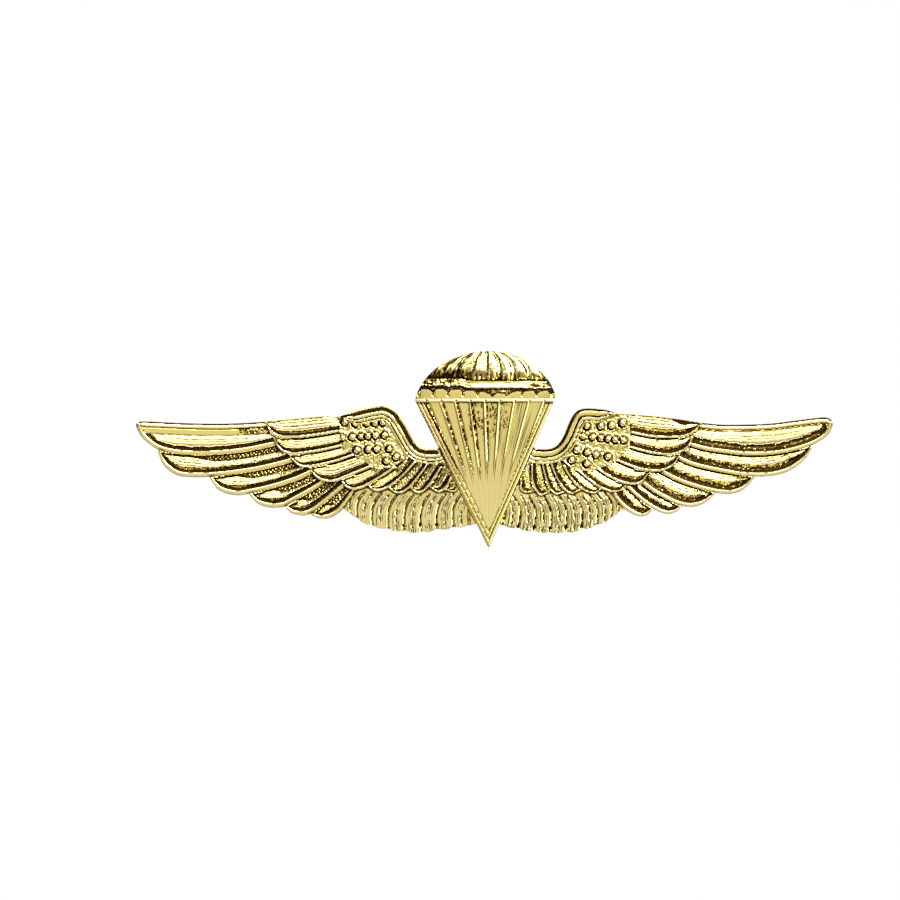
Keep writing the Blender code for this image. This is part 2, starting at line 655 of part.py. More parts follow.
def make_spring(side, parent, material):
    """An open oval of wire round both jaws, which holds them shut."""
    curve = bpy.data.curves.new(side + "_clutch_spring", "CURVE")
    curve.dimensions = "3D"
    curve.bevel_depth = SPRING_WIRE * MM
    curve.bevel_resolution = 2
    curve.use_fill_caps = True
    count = 44
    opening = math.radians(24)
    run = curve.splines.new("POLY")
    run.points.add(count - 1)
    for i, point in enumerate(run.points):
        angle = math.pi / 2 + opening / 2 + (2 * math.pi - opening) * i / (count - 1)
        place = (SPRING_HALF_X * math.cos(angle), SPRING_Y, SPRING_HALF_Z * math.sin(angle))
        point.co = (*(MM * c for c in place), 1)
    curve.materials.append(material)
    obj = bpy.data.objects.new(side + "_clutch_spring", curve)
    obj.parent = parent
    bpy.context.scene.collection.objects.link(obj)


def make_clutch(side, sign, materials):
    centre = bpy.data.objects.new(side + "_clutch", None)
    centre.location = (sign * POST_X * MM, 0, 0)
    bpy.context.scene.collection.objects.link(centre)
    make_cover(side, centre, materials["clutch_brass"])
    make_base(side, centre, materials["clutch_brass"])
    make_spring(side, centre, materials["spring_steel"])
    make_clutch_wing(side + "_clutch_outer_wing", centre, sign, materials["wing_brass"])
    make_clutch_wing(side + "_clutch_inner_wing", centre, -sign, materials["wing_brass"])


# ---------------------------------------------------------------- the whole badge


def metal(name, colour, roughness):
    material = bpy.data.materials.new(name)
    material.use_nodes = True
    shader = material.node_tree.nodes["Principled BSDF"]
    shader.inputs["Base Color"].default_value = (*colour, 1)
    shader.inputs["Metallic"].default_value = 1
    shader.inputs["Roughness"].default_value = roughness
    return material


def main():
    for obj in list(bpy.data.objects):
        bpy.data.objects.remove(obj, do_unlink=True)
    materials = {
        "gold_plate": metal("gold_plate", (0.83, 0.64, 0.28), 0.18),
        "post_brass": metal("post_brass", (0.78, 0.60, 0.28), 0.25),
        "clutch_brass": metal("clutch_brass", (0.80, 0.62, 0.30), 0.22),
        "wing_brass": metal("wing_brass", (0.77, 0.59, 0.27), 0.28),
        "spring_steel": metal("spring_steel", (0.56, 0.56, 0.55), 0.3),
        "solder": metal("solder", (0.60, 0.59, 0.56), 0.45),
    }
    make_wing_plate(materials["gold_plate"])
    make_parachute(materials["gold_plate"])
    for side, sign in (("left", -1), ("right", 1)):
        make_post(side, sign, materials["post_brass"], materials["solder"])
        make_clutch(side, sign, materials)


main()
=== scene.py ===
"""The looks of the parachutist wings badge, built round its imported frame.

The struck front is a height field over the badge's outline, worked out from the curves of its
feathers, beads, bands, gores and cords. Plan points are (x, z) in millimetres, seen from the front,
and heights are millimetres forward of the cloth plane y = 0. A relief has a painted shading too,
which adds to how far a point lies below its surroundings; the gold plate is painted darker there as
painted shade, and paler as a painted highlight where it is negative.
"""

import math

import bmesh
import bpy
import numpy as np
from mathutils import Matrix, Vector, kdtree
from mathutils.geometry import delaunay_2d_cdt

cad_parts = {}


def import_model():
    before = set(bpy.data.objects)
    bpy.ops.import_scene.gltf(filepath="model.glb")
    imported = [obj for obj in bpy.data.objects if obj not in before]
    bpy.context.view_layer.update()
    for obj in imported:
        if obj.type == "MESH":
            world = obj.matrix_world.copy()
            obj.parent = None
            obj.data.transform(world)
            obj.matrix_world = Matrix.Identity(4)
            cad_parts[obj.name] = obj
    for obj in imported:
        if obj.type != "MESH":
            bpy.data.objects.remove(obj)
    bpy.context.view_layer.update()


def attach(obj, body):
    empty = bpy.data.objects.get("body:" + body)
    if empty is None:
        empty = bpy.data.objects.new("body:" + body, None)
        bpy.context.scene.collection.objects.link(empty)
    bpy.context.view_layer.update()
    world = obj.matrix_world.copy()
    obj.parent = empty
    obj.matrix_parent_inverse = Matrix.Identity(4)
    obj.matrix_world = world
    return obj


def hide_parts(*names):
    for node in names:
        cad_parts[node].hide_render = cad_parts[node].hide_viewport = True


MM = 0.001

# Spacing of the front's points, their clearance from the outline as a share of it, and the steps along
# outlines, along the curves that shape the relief, and along outlines that only part one area from another.
FRONT_SPACING = 0.080
PARACHUTE_SPACING = 0.062
GRID_MARGIN = 0.6
OUTLINE_STEP = 0.07
CURVE_STEP = 0.15
AREA_STEP = 0.3
# Rounds of averaging with its neighbours that give a point's surroundings.
RECESS_ROUNDS = 12
FRONT_SHARP_ANGLE = 60
FITTING_SHARP_ANGLE = 35

# Wing relief: heights of the ground between feathers, and of what stands on it.
EDGE_HEIGHT = 0.90
SHORT_BASE = 0.93
GROUND_HEIGHT = 1.44
SEAT_HEIGHT = 0.90
SEAT_MARGIN = 0.05
HIDDEN_INSET = 0.3
BACKING_INSET = 0.35
BACK_Y = -0.08
BACK_SEAT_HALF = 3.0
BACK_SEAT_SLOPE = 0.4

# Short feathers: how many, where the first starts and how far apart they are, as shares of their row,
# how deep their tips are scalloped, how far they bow, and where the light barbs are in each.
SHORT_COUNT = 8
SHORT_FIRST = 0.08
SHORT_PITCH = 0.129
SCALLOP = 0.16
SHORT_BOW = 0.45
SHORT_BARBS = (0.14, 0.38, 0.64, 0.88)

# Feathers: the width at which one is cut full size, the share of its length over which the trough opens,
# where across the vane its foot, crest and quill strokes are, and the pitch of the barbs.
FULL_WIDTH = 1.7
TROUGH_START = 0.28
TROUGH_END = 0.5
VANE_FOOT = 0.16
VANE_CREST = 0.36
QUILLS = (0.50, 0.76)
BARB_PITCH = 0.42
# The longest feather: how far from the middle it starts, its leading edge, its crest and its quill strokes.
TOP_FEATHER_X = 19.5
LEAD_START = 0.14
LEAD_END = 0.50
TOP_CREST = 0.3
TOP_QUILLS = (0.42, 0.62)

# Each group of feathers: ground height, rim width and rise, valley width and depth, vane rise, width of
# the trough along the upper side at the tip and at the root, the same for the group's first feather,
# height of the barbs, painted shade in the valley, and how far the vane is mottled in its height and in
# the painted shade at its foot. The primaries also say where the longest feather's flat band ends and
# how strongly it is dappled with small dips and painted shade.
LEFT_PRIMARY = {"base": 1.00, "rim": 0.50, "rim_rise": 0.28, "valley": 0.27, "depth": 0.15, "rise": 0.34,
                "trough": (0.14, 0.60), "first_trough": (0.05, 0.05), "barbs": 0.16, "painted_shading": 0.03,
                "mottle": 1.0, "flat": 1.20, "dapple": 0.11}
RIGHT_PRIMARY = {"base": 1.00, "rim": 0.42, "rim_rise": 0.27, "valley": 0.52, "depth": 0.16, "rise": 0.34,
                 "trough": (0.07, 0.10), "first_trough": (0.05, 0.05), "barbs": 0.0, "painted_shading": 0.06,
                 "mottle": 0.0, "flat": 0.72, "dapple": 0.0}
LEFT_COVERT = {"base": 1.25, "rim": 0.31, "rim_rise": 0.28, "valley": 0.17, "depth": 0.14, "rise": 0.32,
               "trough": (0.07, 0.15), "first_trough": (0.05, 0.05), "barbs": 0.12, "painted_shading": 0.01,
               "mottle": 1.0}
RIGHT_COVERT = {"base": 1.25, "rim": 0.27, "rim_rise": 0.28, "valley": 0.40, "depth": 0.15, "rise": 0.32,
                "trough": (0.07, 0.12), "first_trough": (0.45, 0.05), "barbs": 0.10, "painted_shading": 0.08,
                "mottle": 0.5}

# Parachute relief.
SEAT_BACK = 0.95
FAN_BASE = 1.68
DOME_BASE = 1.40
DOME_RISE = 1.30
DOME_HALF_WIDTH = 7.25
DOME_TALL = 5.15
SKIRT_HALF_WIDTH = 8.4
DOME_FOOT_Z = 8.55
FOOT_SHADE = 0.95
RING_Z = 8.07
RING_HALF = 0.28
RING_DIP = 0.24
RING_CREST = 0.3
LOBE_TOP_Z = 7.48
HEM_Z = 6.35
HEM_HALF = 0.14
CROWN = (0.25, 11.20)
GORE_CENTRE = 0.04
GORE_WIDTH = 1.46
CORD_SHARES = [0.069 + 0.1068 * k for k in range(9)]
FINE_LINES = (0.040, 0.072)
BORDER_WIDTH = 0.77
LINE_TIP = (0.40, -8.25)

# Fastenings on the back.
LATHE_SEGMENTS = 96
POST_X = 12.2
PAD_RADIUS = 2.30
PAD_THICKNESS = 0.50
SOLDER_RADIUS = 2.90
SHANK_RADIUS = 0.55
GROOVE_RADIUS = 0.42
GROOVE_Y = 6.0
SHANK_END_Y = 7.3
POINT_Y = 8.6
HOLE_RADIUS = 0.63
CLUTCH_RADIUS = 4.75
CLUTCH_WALL = 0.35
CLUTCH_BACK_Y = 1.45
BASE_Y = 1.80
BASE_THICKNESS = 0.30
COVER_TOP_Y = 4.20
BOSS_TOP_Y = 4.90
PIVOT_X = 2.65
PIVOT_Y = 4.00
SLOT_WIDTH = 0.64
SLOT_LENGTH = 3.90
SLOT_CUT = 1.2
LEAF_THICKNESS = 0.25
NOTCH_RADIUS = 0.60
# Steps of a leaf's path that the notch can reach, and where its grip is ribbed.
NOTCH_STEPS = 6
RIB_START = 5.2
RIB_END = 6.88
RIB_PITCH = 0.42
SPRING_WIRE = 0.20
SPRING_Y = 2.95
SPRING_HALF_X = 3.30
SPRING_HALF_Z = 3.90
SPRING_OPENING = math.radians(24)
SPRING_STEPS = 160
SPRING_SIDES = 16
GAP = 0.05
# Rows along a clutch wing: (x from the post, y, half width), from the notch at the post to the grip.
LEAF_ROWS = [(0.30, 3.30, 1.50), (1.20, 3.30, 1.70), (2.10, 3.30, 1.80), (2.50, 3.42, 1.80),
             (2.65, 3.75, 1.80), (2.65, 4.35, 1.80), (2.85, 4.85, 1.95), (3.30, 5.60, 2.35),
             (3.85, 6.35, 2.45), (4.25, 6.80, 2.10), (4.50, 7.05, 1.30)]

# Gold plate: the recess in millimetres, with the painted shading added, at both ends of the colour ramp, and
# the ramp from a pale painted highlight on the crests to dark painted shade in the recesses.
RECESS_LOW = -0.10
RECESS_HIGH = 0.15
GOLD_STOPS = [(0.14, (0.96, 0.86, 0.50)), (0.44, (0.93, 0.755, 0.25)), (0.62, (0.88, 0.70, 0.21)),
              (0.76, (0.27, 0.18, 0.04)), (0.90, (0.05, 0.027, 0.004))]

# Camera and floor, in metres.
CAMERA_DISTANCE = 0.6
CAMERA_X = -0.00342
CAMERA_Z = 0.00149
FRAME_WIDTH = 0.0892
SENSOR_WIDTH = 36
FLOOR_Z = -0.055
FLOOR_SIZE = 0.3

# Soft lights of the studio: direction, half angle of the even part and of the edge, and brightness.
STUDIO_DARK = 0.07
STUDIO_GLOWS = [
    ((0, -1, 0), 15, 32, 0.76),
    ((0.38, -0.72, 0.58), 18, 23, 5.5),
    ((-0.18, -0.70, 0.70), 14, 19, 4.2),
    ((0.88, -0.42, -0.15), 14, 22, 3.6),
    ((0.1, 0.0, 1), 20, 30, 3.8),
    ((0, -0.62, -0.78), 16, 38, 0.28),
    ((-0.64, -0.64, -0.42), 10, 26, 0.36),
    ((0, 0.1, -1), 28, 45, 0.85),
    ((-0.92, -0.15, 0.1), 5, 12, 1.2),
    ((0, 1, 0.1), 35, 80, 0.75),
]

# Each wing: how strong the strokes in its short feathers are, in their grooves, barbs and painted shade, its
# side, the styles of its feathers, its top edge from the tip to the parachute, where the bands at the
# shoulder start and their (centre, half width, crest) across, the lower edge of each feather from its tip to
# its root, the outline of the scaly ground, the top and bottom of the row of short feathers, and the rows of
# beads (first, last, how many).
LEFT_WING = {
    "strokes": 1.0,
    "side": -1,
    "primary_style": LEFT_PRIMARY,
    "covert_style": LEFT_COVERT,
    "top": [(-34.5, 3.85), (-34.4, 4.15), (-34.05, 4.3), (-33.15, 4.3), (-31, 4.2), (-28.2, 4.1),
            (-25.2, 4.1), (-21.55, 4.3), (-18.3, 4.6), (-15.8, 4.8), (-14.6, 4.75), (-13.35, 5.15),
            (-12.15, 5.5), (-10.95, 5.75), (-10.05, 5.85), (-9.25, 5.6), (-8.55, 5.05), (-7.9, 4.05),
            (-7.3, 3), (-6.8, 2.15), (-6.3, 1.7), (-5.4, 1.55), (-4.7, 1.6)],
    "band_start": (-14.6, 4.75),
    "band": [(0.05, 0.06, 0.18), (0.46, 0.13, 0.42), (0.71, 0.10, 0.34), (0.92, 0.08, 0.22)],
    "primaries": [
        [(-34.5, 3.85), (-34.15, 3.05), (-33.45, 2.3), (-32.35, 1.55), (-30.65, 1.1), (-28.2, 0.95),
         (-25.7, 1.05), (-23.25, 1.35), (-20.65, 1.9)],
        [(-32.3, 1.4), (-32.05, 0.5), (-31.55, -0.25), (-30.75, -0.85), (-29.8, -1.15), (-27.7, -1.2),
         (-25.7, -1.05), (-23.75, -0.8), (-22.05, -0.5), (-19.75, 0.05), (-18.5, 0.5)],
        [(-27.15, -1.3), (-26.5, -2.3), (-25.6, -2.8), (-24.35, -3), (-23.05, -2.8), (-21.25, -2.4),
         (-19.55, -1.9), (-18.3, -1.45), (-16.9, -0.8)],
        [(-23.15, -3.05), (-22.55, -3.75), (-21.35, -4.2), (-19.95, -4.15), (-19, -3.7),
         (-17.9, -3.1), (-16.7, -2.4), (-15.5, -1.55)],
        [(-19.55, -4.35), (-19, -4.8), (-17.9, -5), (-17, -4.7), (-15.9, -3.9), (-14.8, -3),
         (-13.75, -2.15)],
        [(-17.05, -5), (-16.3, -5.3), (-15.4, -5.25), (-14.5, -4.8), (-13.75, -4), (-13.05, -2.95),
         (-12.65, -2.4)],
    ],
    "coverts": [
        [(-21.7, 4.15), (-21.25, 3.35), (-20.55, 2.8), (-19.55, 2.65), (-18, 2.7), (-16.1, 2.95),
         (-14.4, 3.25)],
        [(-20.85, 2.5), (-20.35, 1.6), (-19.65, 1.15), (-18.7, 1), (-17.1, 1.2), (-15.7, 1.45),
         (-14.2, 1.8)],
        [(-19.15, 0.65), (-18.6, 0.05), (-17.9, -0.25), (-16.7, -0.15), (-15.1, 0.2), (-13.8, 0.6),
         (-12.65, 1)],
        [(-17.15, -0.65), (-16.6, -1.3), (-15.8, -1.65), (-14.7, -1.65), (-13.65, -1.25),
         (-12.55, -0.8), (-11.35, -0.3)],
        [(-14.05, -1.75), (-13.65, -2.25), (-12.85, -2.45), (-11.85, -2.2), (-10.85, -1.6),
         (-9.85, -1.05), (-8.95, -0.4)],
        [(-11.5, -2.05), (-11.05, -2.5), (-10.25, -2.55), (-9.35, -2.15), (-8.35, -1.4),
         (-7.6, -0.7), (-6.9, 0.1)],
        [(-9.4, -2.35), (-8.85, -2.75), (-8.2, -2.8), (-7.4, -2.3), (-6.7, -1.5), (-6.1, -0.75),
         (-5.5, 0.1)],
        [(-7.35, -2.3), (-6.8, -2.75), (-6.1, -2.7), (-5.4, -2.05), (-4.8, -1.2), (-4.3, -0.4)],
        [(-5.4, -2.2), (-4.8, -2.65), (-4.2, -2.65), (-3.6, -2.1), (-3.2, -1.3)],
        [(-4, -2.4), (-3.4, -2.65), (-2.8, -2.6), (-2.45, -2)],
    ],
    "ground": [(-14.5, 5), (-14.35, 3.3), (-14.2, 1.8), (-13, 1.05), (-11.9, 0.3), (-10.9, -0.25),
               (-9.6, -0.35), (-8.6, 0.05), (-7.9, 0.55), (-6.8, 1.1), (-7.6, 3.5), (-9.4, 6.2),
               (-12.2, 5.8)],
    "short_tops": [(-12.8, -2.5), (-10.4, -2.8), (-8.4, -3), (-6.4, -2.95), (-4.4, -2.9), (-0.5, -2.8)],
    "short_bottoms": [(-13.4, -4.7), (-12.65, -5.25), (-11.55, -5.9), (-9.95, -6.3), (-8.2, -6.55),
                      (-6.4, -6.65), (-4.6, -6.4), (-2.9, -6.2), (-1.25, -5.95)],
    "bead_rows": [((-13.9, 4.35), (-13.9, 4.35), 1), ((-12.65, 3.95), (-9.95, 4.05), 4),
                  ((-14, 2.85), (-9.85, 2.85), 6), ((-12.6, 1.35), (-9.55, 1.7), 4),
                  ((-9.75, 0.35), (-8.65, 0.9), 2)],
}

RIGHT_WING = {
    "strokes": 1.5,
    "side": 1,
    "primary_style": RIGHT_PRIMARY,
    "covert_style": RIGHT_COVERT,
    "top": [(34.45, 3.95), (34.35, 4.4), (33.85, 4.7), (32.75, 4.65), (30.75, 4.4), (28.3, 4.1),
            (25.8, 4), (23.35, 4), (21.35, 4.2), (19.35, 4.5), (16.9, 4.8), (14.4, 5), (13.25, 5.1),
            (11.95, 5.45), (10.45, 5.6), (9.45, 5.5), (8.85, 5.05), (8.35, 4.15), (7.9, 3.05),
            (7.4, 2.2), (6.8, 1.7), (6, 1.55), (5.1, 1.6)],
    "band_start": (13.25, 5.1),
    "band": [(0.04, 0.05, 0.20), (0.32, 0.18, 0.40), (0.67, 0.13, 0.36), (0.91, 0.09, 0.22)],
    "primaries": [
        [(34.45, 3.95), (34.15, 3.2), (33.45, 2.55), (32.45, 2), (31.05, 1.5), (29.5, 1.15),
         (27.6, 0.95), (25.8, 0.95), (23.85, 1.15), (21.85, 1.45), (20.35, 1.85)],
        [(32.35, 1.6), (31.85, 0.75), (31.05, 0), (30.1, -0.6), (28.8, -1), (27.1, -1.15),
         (25.3, -1.05), (23.55, -0.75), (21.85, -0.4), (20.35, 0), (19, 0.6)],
        [(26.65, -1.3), (26.1, -2), (25.3, -2.6), (24.35, -2.85), (23.15, -2.8), (21.55, -2.45),
         (19.95, -1.95), (18.5, -1.35), (17.1, -0.6)],
        [(22.75, -2.95), (22.05, -3.55), (21.35, -3.95), (20.45, -4.15), (19.35, -4), (18.2, -3.55),
         (16.9, -2.85), (15.7, -2)],
        [(19.45, -4.15), (18.9, -4.65), (18.1, -4.85), (17.2, -4.6), (16.2, -4.05), (15.2, -3.3),
         (14.2, -2.4)],
        [(16.5, -4.55), (16, -5), (15.2, -5.05), (14.3, -4.65), (13.45, -3.95), (12.65, -2.95),
         (12.35, -2.5)],
    ],
    "coverts": [
        [(21.45, 4.05), (20.75, 3.3), (19.85, 2.8), (18.4, 2.65), (16.4, 2.75), (14.4, 3.15)],
        [(20.55, 2.5), (20.15, 1.75), (19.35, 1.2), (18.2, 0.95), (16.4, 1.15), (14.5, 1.65)],
        [(19.25, 0.8), (18.8, 0.05), (17.9, -0.5), (16.6, -0.65), (14.9, -0.35), (13.15, 0.35)],
        [(16.2, -0.9), (15.7, -1.6), (14.9, -1.95), (13.65, -1.8), (12.25, -1.2), (11.05, -0.4)],
        [(13.9, -2.15), (13.35, -2.6), (12.45, -2.65), (11.35, -2.25), (10.25, -1.5), (9.15, -0.6)],
        [(11.55, -2.4), (10.95, -2.8), (10.15, -2.7), (9.25, -2.15), (8.45, -1.3), (7.8, -0.2)],
        [(9.35, -2.55), (8.65, -2.85), (8, -2.6), (7.3, -1.7), (6.8, -0.7), (6.4, 0.4)],
        [(7.7, -2.75), (7.1, -2.95), (6.5, -2.5), (6, -1.4), (5.6, 0.3)],
        [(6.1, -2.85), (5.5, -3.05), (5, -2.5), (4.6, -1.4), (4.6, -0.1)],
        [(4.6, -2.7), (4, -2.75), (3.5, -2.4), (3.5, -1.6)],
    ],
    "ground": [(14.2, 5.2), (14.45, 3.2), (14.35, 1.8), (13.2, 0.5), (12, -0.1), (10.9, -0.5),
               (9.6, -0.6), (8.4, -0.2), (7.6, 0.5), (7, 1.1), (7.9, 3.5), (9, 6),
               (12, 5.8)],
    "short_tops": [(12.8, -2.6), (10.6, -2.95), (8.6, -3.05), (6.8, -3.1), (5.2, -3.15), (1.2, -3)],
    "short_bottoms": [(13.25, -4.7), (12.15, -5.5), (10.95, -6), (9.65, -6.4), (8.25, -6.65),
                      (6.5, -6.7), (4.7, -6.55), (3, -6.25), (1.55, -5.9)],
    "bead_rows": [((13.75, 4.25), (13.75, 4.25), 1), ((10.2, 3.95), (12.55, 3.75), 3),
                  ((9.75, 2.7), (13.85, 2.6), 6), ((9.1, 1.45), (12.1, 0.95), 4),
                  ((8.5, 0.6), (9.95, 0.05), 2)],
}

# The canopy's edge, from the left end of the hem over the crown to the right end.
CANOPY = [(-6.85, 6.35), (-6.7, 7.05), (-6.3, 7.85), (-5.7, 8.7), (-5, 9.4), (-4.2, 9.95), (-3.2, 10.45),
          (-2.15, 10.85), (-0.95, 11.15), (0.25, 11.25), (1.45, 11.15), (2.75, 10.85), (3.8, 10.4),
          (4.8, 9.8), (5.7, 9.05), (6.4, 8.25), (6.85, 7.35), (6.95, 6.75), (6.85, 6.35)]


# ---- curves and outlines


def unit(value):
    """The value, kept between 0 and 1."""
    return np.clip(value, 0, 1)


def spline(points, step):
    """A Catmull-Rom curve through the points, with a point about every step."""
    ends = [points[0]] + list(points) + [points[-1]]
    curve = []
    for a, b, c, d in zip(ends, ends[1:], ends[2:], ends[3:]):
        count = max(1, round(math.dist(b, c) / step))
        for i in range(count):
            t = i / count
            curve.append(tuple(
                0.5 * (2 * q + (r - p) * t + (2 * p - 5 * q + 4 * r - s) * t * t
                       + (3 * q - p - 3 * r + s) * t ** 3)
                for p, q, r, s in zip(a, b, c, d)))
    curve.append(tuple(points[-1]))
    return np.array(curve)


def index_near(point, curve):
    return int(np.argmin(np.hypot(*(curve - np.array(point)).T)))


def counter_clockwise(outline):
    x, z = outline.T
    area = np.sum(x * np.roll(z, -1) - np.roll(x, -1) * z)
    return outline if area > 0 else outline[::-1]


def grown(outline, distance):
    """The counter-clockwise outline moved outwards, or inwards where distance is negative."""
    ahead = np.roll(outline, -1, 0) - outline
    behind = outline - np.roll(outline, 1, 0)
    along = sum(side / np.linalg.norm(side, axis=1)[:, None] for side in (ahead, behind))
    normal = np.stack([along[:, 1], -along[:, 0]], 1) / np.linalg.norm(along, axis=1)[:, None]
    moved = outline + normal * distance
    spacing = np.hypot(*(moved[:, None] - outline[None]).transpose(2, 0, 1)).min(1)
    return moved[spacing > 0.96 * abs(distance)]


def inside(points, outline):
    """Which points are inside the closed outline."""
    result = np.zeros(len(points), bool)
    x, z = points.T
    for (x1, z1), (x2, z2) in zip(outline, np.roll(outline, -1, 0)):
        rows = (z1 > z) != (z2 > z)
        if rows.any():
            result[rows] ^= x[rows] < x1 + (z[rows] - z1) * (x2 - x1) / (z2 - z1)
    return result


def against(curve, points):
    """Distance to the curve, which side (+1 is to its left), and the length along it."""
    distance = np.full(len(points), np.inf)
    side = np.zeros(len(points))
    length = np.zeros(len(points))
    start = 0.0
    for a, b in zip(curve, curve[1:]):
        along = b - a
        size = np.hypot(*along)
        if size < 1e-9:
            continue
        offset = points - a
        t = unit(offset @ along / size ** 2)
        gap = np.hypot(*(offset - t[:, None] * along).T)
        closer = gap < distance
        distance[closer] = gap[closer]
        side[closer] = np.sign(along[0] * offset[:, 1] - along[1] * offset[:, 0])[closer]
        length[closer] = start + t[closer] * size
        start += size
    return distance, side, length


def lengths_along(curve):
    """The length along the curve at each of its points."""
    return np.concatenate([[0], np.cumsum(np.hypot(*(curve[1:] - curve[:-1]).T))])


def at_share(curve, share):
    """The point at a share of the curve's length."""
    along = lengths_along(curve)
    return np.array([np.interp(share * along[-1], along, curve[:, axis]) for axis in (0, 1)])


def parachute_outline(step):
    canopy = spline(CANOPY, step)
    right_line = spline([CANOPY[-1], LINE_TIP], step)
    left_line = spline([LINE_TIP, CANOPY[0]], step)
    return counter_clockwise(np.concatenate([canopy, right_line[1:], left_line[1:-1]]))


def short_feather_bottoms(wing, step):
    """The lower edge of the short feathers, scalloped by their round tips."""
    base = spline(wing["short_bottoms"], step)
    along = lengths_along(base)
    phase = (along / along[-1] - SHORT_FIRST) / SHORT_PITCH
    fade = unit(along / 0.6) * unit((along[-1] - along) / 0.6)
    drop = (0.6 - np.abs(np.sin(math.pi * phase))) * SCALLOP * fade
    return base + np.stack([0 * phase, drop], 1)


def wing_lower_edge(wing, step):
    edges = [spline(points, step) for points in wing["primaries"]]
    bottoms = short_feather_bottoms(wing, step)
    path = []
    for edge, following in zip(edges, edges[1:] + [bottoms]):
        path.append(edge[:index_near(following[0], edge)])
    return np.concatenate(path + [bottoms])


def badge_outline(step):
    """Both wings, with a backing under the parachute that is a little smaller than it."""
    backing = grown(parachute_outline(step), -BACKING_INSET)[::-1]
    left_top, right_top = (spline(wing["top"], step) for wing in (LEFT_WING, RIGHT_WING))
    left_lower, right_lower = (wing_lower_edge(wing, step) for wing in (LEFT_WING, RIGHT_WING))

    def run(start, end):
        first, last = index_near(start, backing), index_near(end, backing)
        if first < last:
            return backing[first:last]
        return np.concatenate([backing[first:], backing[:last]])

    over_top = run(left_top[-1], right_top[-1])
    under_tip = run(right_lower[-1], left_lower[-1])
    return counter_clockwise(np.concatenate(
        [left_top, over_top, right_top[::-1], right_lower[1:], under_tip, left_lower[:0:-1]]))

# ---- relief of the wings


def bump(u):
    """A round ridge over -1 to 1, with a height of 1."""
    return np.sqrt(unit(1 - u * u))


def plateau(u):
    """A ridge over -1 to 1 with a broad, almost flat crest."""
    return np.sqrt(unit(1 - u ** 8))


def smooth(low, high, value):
    t = unit((value - low) / (high - low))
    return t * t * (3 - 2 * t)


def hollow(value, centre, width):
    """A narrow bell, 1 at its centre."""
    return np.exp(-((value - centre) / width) ** 2)


def strokes(value, centres, width):
    """Narrow bells side by side."""
    return sum(hollow(value, centre, width) for centre in centres)


def wobble(points, pitch):
    """A gentle unevenness between -1 and 1, as hand engraving leaves."""
    x, z = points.T * (2 * math.pi / pitch)
    return (np.sin(x + 1.7 * np.sin(0.6 * z)) * np.sin(1.1 * z + 1.3 * np.sin(0.8 * x))
            + 0.5 * np.sin(2.3 * x - 1.9 * z) * np.sin(1.7 * x + 2.1 * z)) / 1.5


def layered(height, painted_shading=0.0):
    """Height and painted shading side by side; painted shading darkens the plate like the same depth of
    recess, as painted shade, and makes it paler where negative, as a painted highlight.
    """
    return np.stack([height, np.broadcast_to(painted_shading, height.shape)], 1)


def vane_relief(local, across, narrow, size, style):
    """Height and painted shading of a vane: a mottled foot with painted shade, a steep side, a long fall and
    two quill strokes with painted shade in them.
    """
    mottle = style["mottle"] * unit(0.5 + 0.8 * wobble(local, 0.43))
    steep = np.sqrt(unit(1 - (1 - unit(across - VANE_FOOT) / (VANE_CREST - VANE_FOOT)) ** 2))
    fall = 1 - 0.9 * unit((across - VANE_CREST) / (1 - VANE_CREST)) ** 1.4
    slope = np.where(across < VANE_CREST, steep * (across > VANE_FOOT), fall)
    quill = size * (0.12 + 0.06 * wobble(local, 1.9)) * narrow
    height = style["base"] + 0.02 * mottle + style["rise"] * size * narrow * slope
    height = height - quill * (hollow(across, QUILLS[0], 0.035) + 0.7 * hollow(across, QUILLS[1], 0.03))
    broken = unit(0.5 + 0.9 * wobble(local, 1.3))
    # Painted shade at the vane's foot beside the valley, and along the broken quill strokes.
    painted_shading = 0.05 * (1 - smooth(VANE_FOOT, VANE_FOOT + 0.1, across)) * mottle * narrow
    lines = hollow(across, QUILLS[0], 0.04) + hollow(across, QUILLS[1], 0.035)
    return height, painted_shading + 0.10 * size * broken * lines


def valley_relief(local, low, rim, valley, size, style, speck_start):
    """Height and painted shade of the valley inside a feather's rim, and the light specks in it, where no
    shade is painted.
    """
    across = 2 * (low - rim) / valley - 1
    specks = smooth(speck_start, 0.7, wobble(local, 0.9))
    height = style["base"] - style["depth"] * size ** 1.5 * plateau(np.clip(across, -1, 1))
    uneven = 0.3 + 0.7 * np.abs(across) + 0.5 * wobble(local, 0.8)
    # Painted shade in the valley, uneven, and none on the specks.
    return height, style["painted_shading"] * size * uneven * (1 - specks), specks


def furrow_relief(local, low, up, length, barbed, size, style):
    """Height and painted shading of the trough along a feather's upper side: painted shade in the trough,
    and raised barbs crossing it with a painted highlight on their dots.
    """
    rows = np.sin(2 * math.pi * (length / BARB_PITCH - 0.5 * low) + 1.9 * wobble(local, 1.1))
    dots = barbed * unit(rows * np.cos(2 * math.pi * up / BARB_PITCH + 1.2 * wobble(local, 0.8)))
    # Painted shade in the trough, and a painted highlight on the barbs' dots.
    return style["base"] - 0.15 + style["barbs"] * dots, 0.07 * size ** 2 - 0.20 * dots


# Painted shade on the outer part of a feather's rim.
def rim_painted_shade(low, rim):
    return np.where(low < 0.6 * rim, 0.10, 0.0)


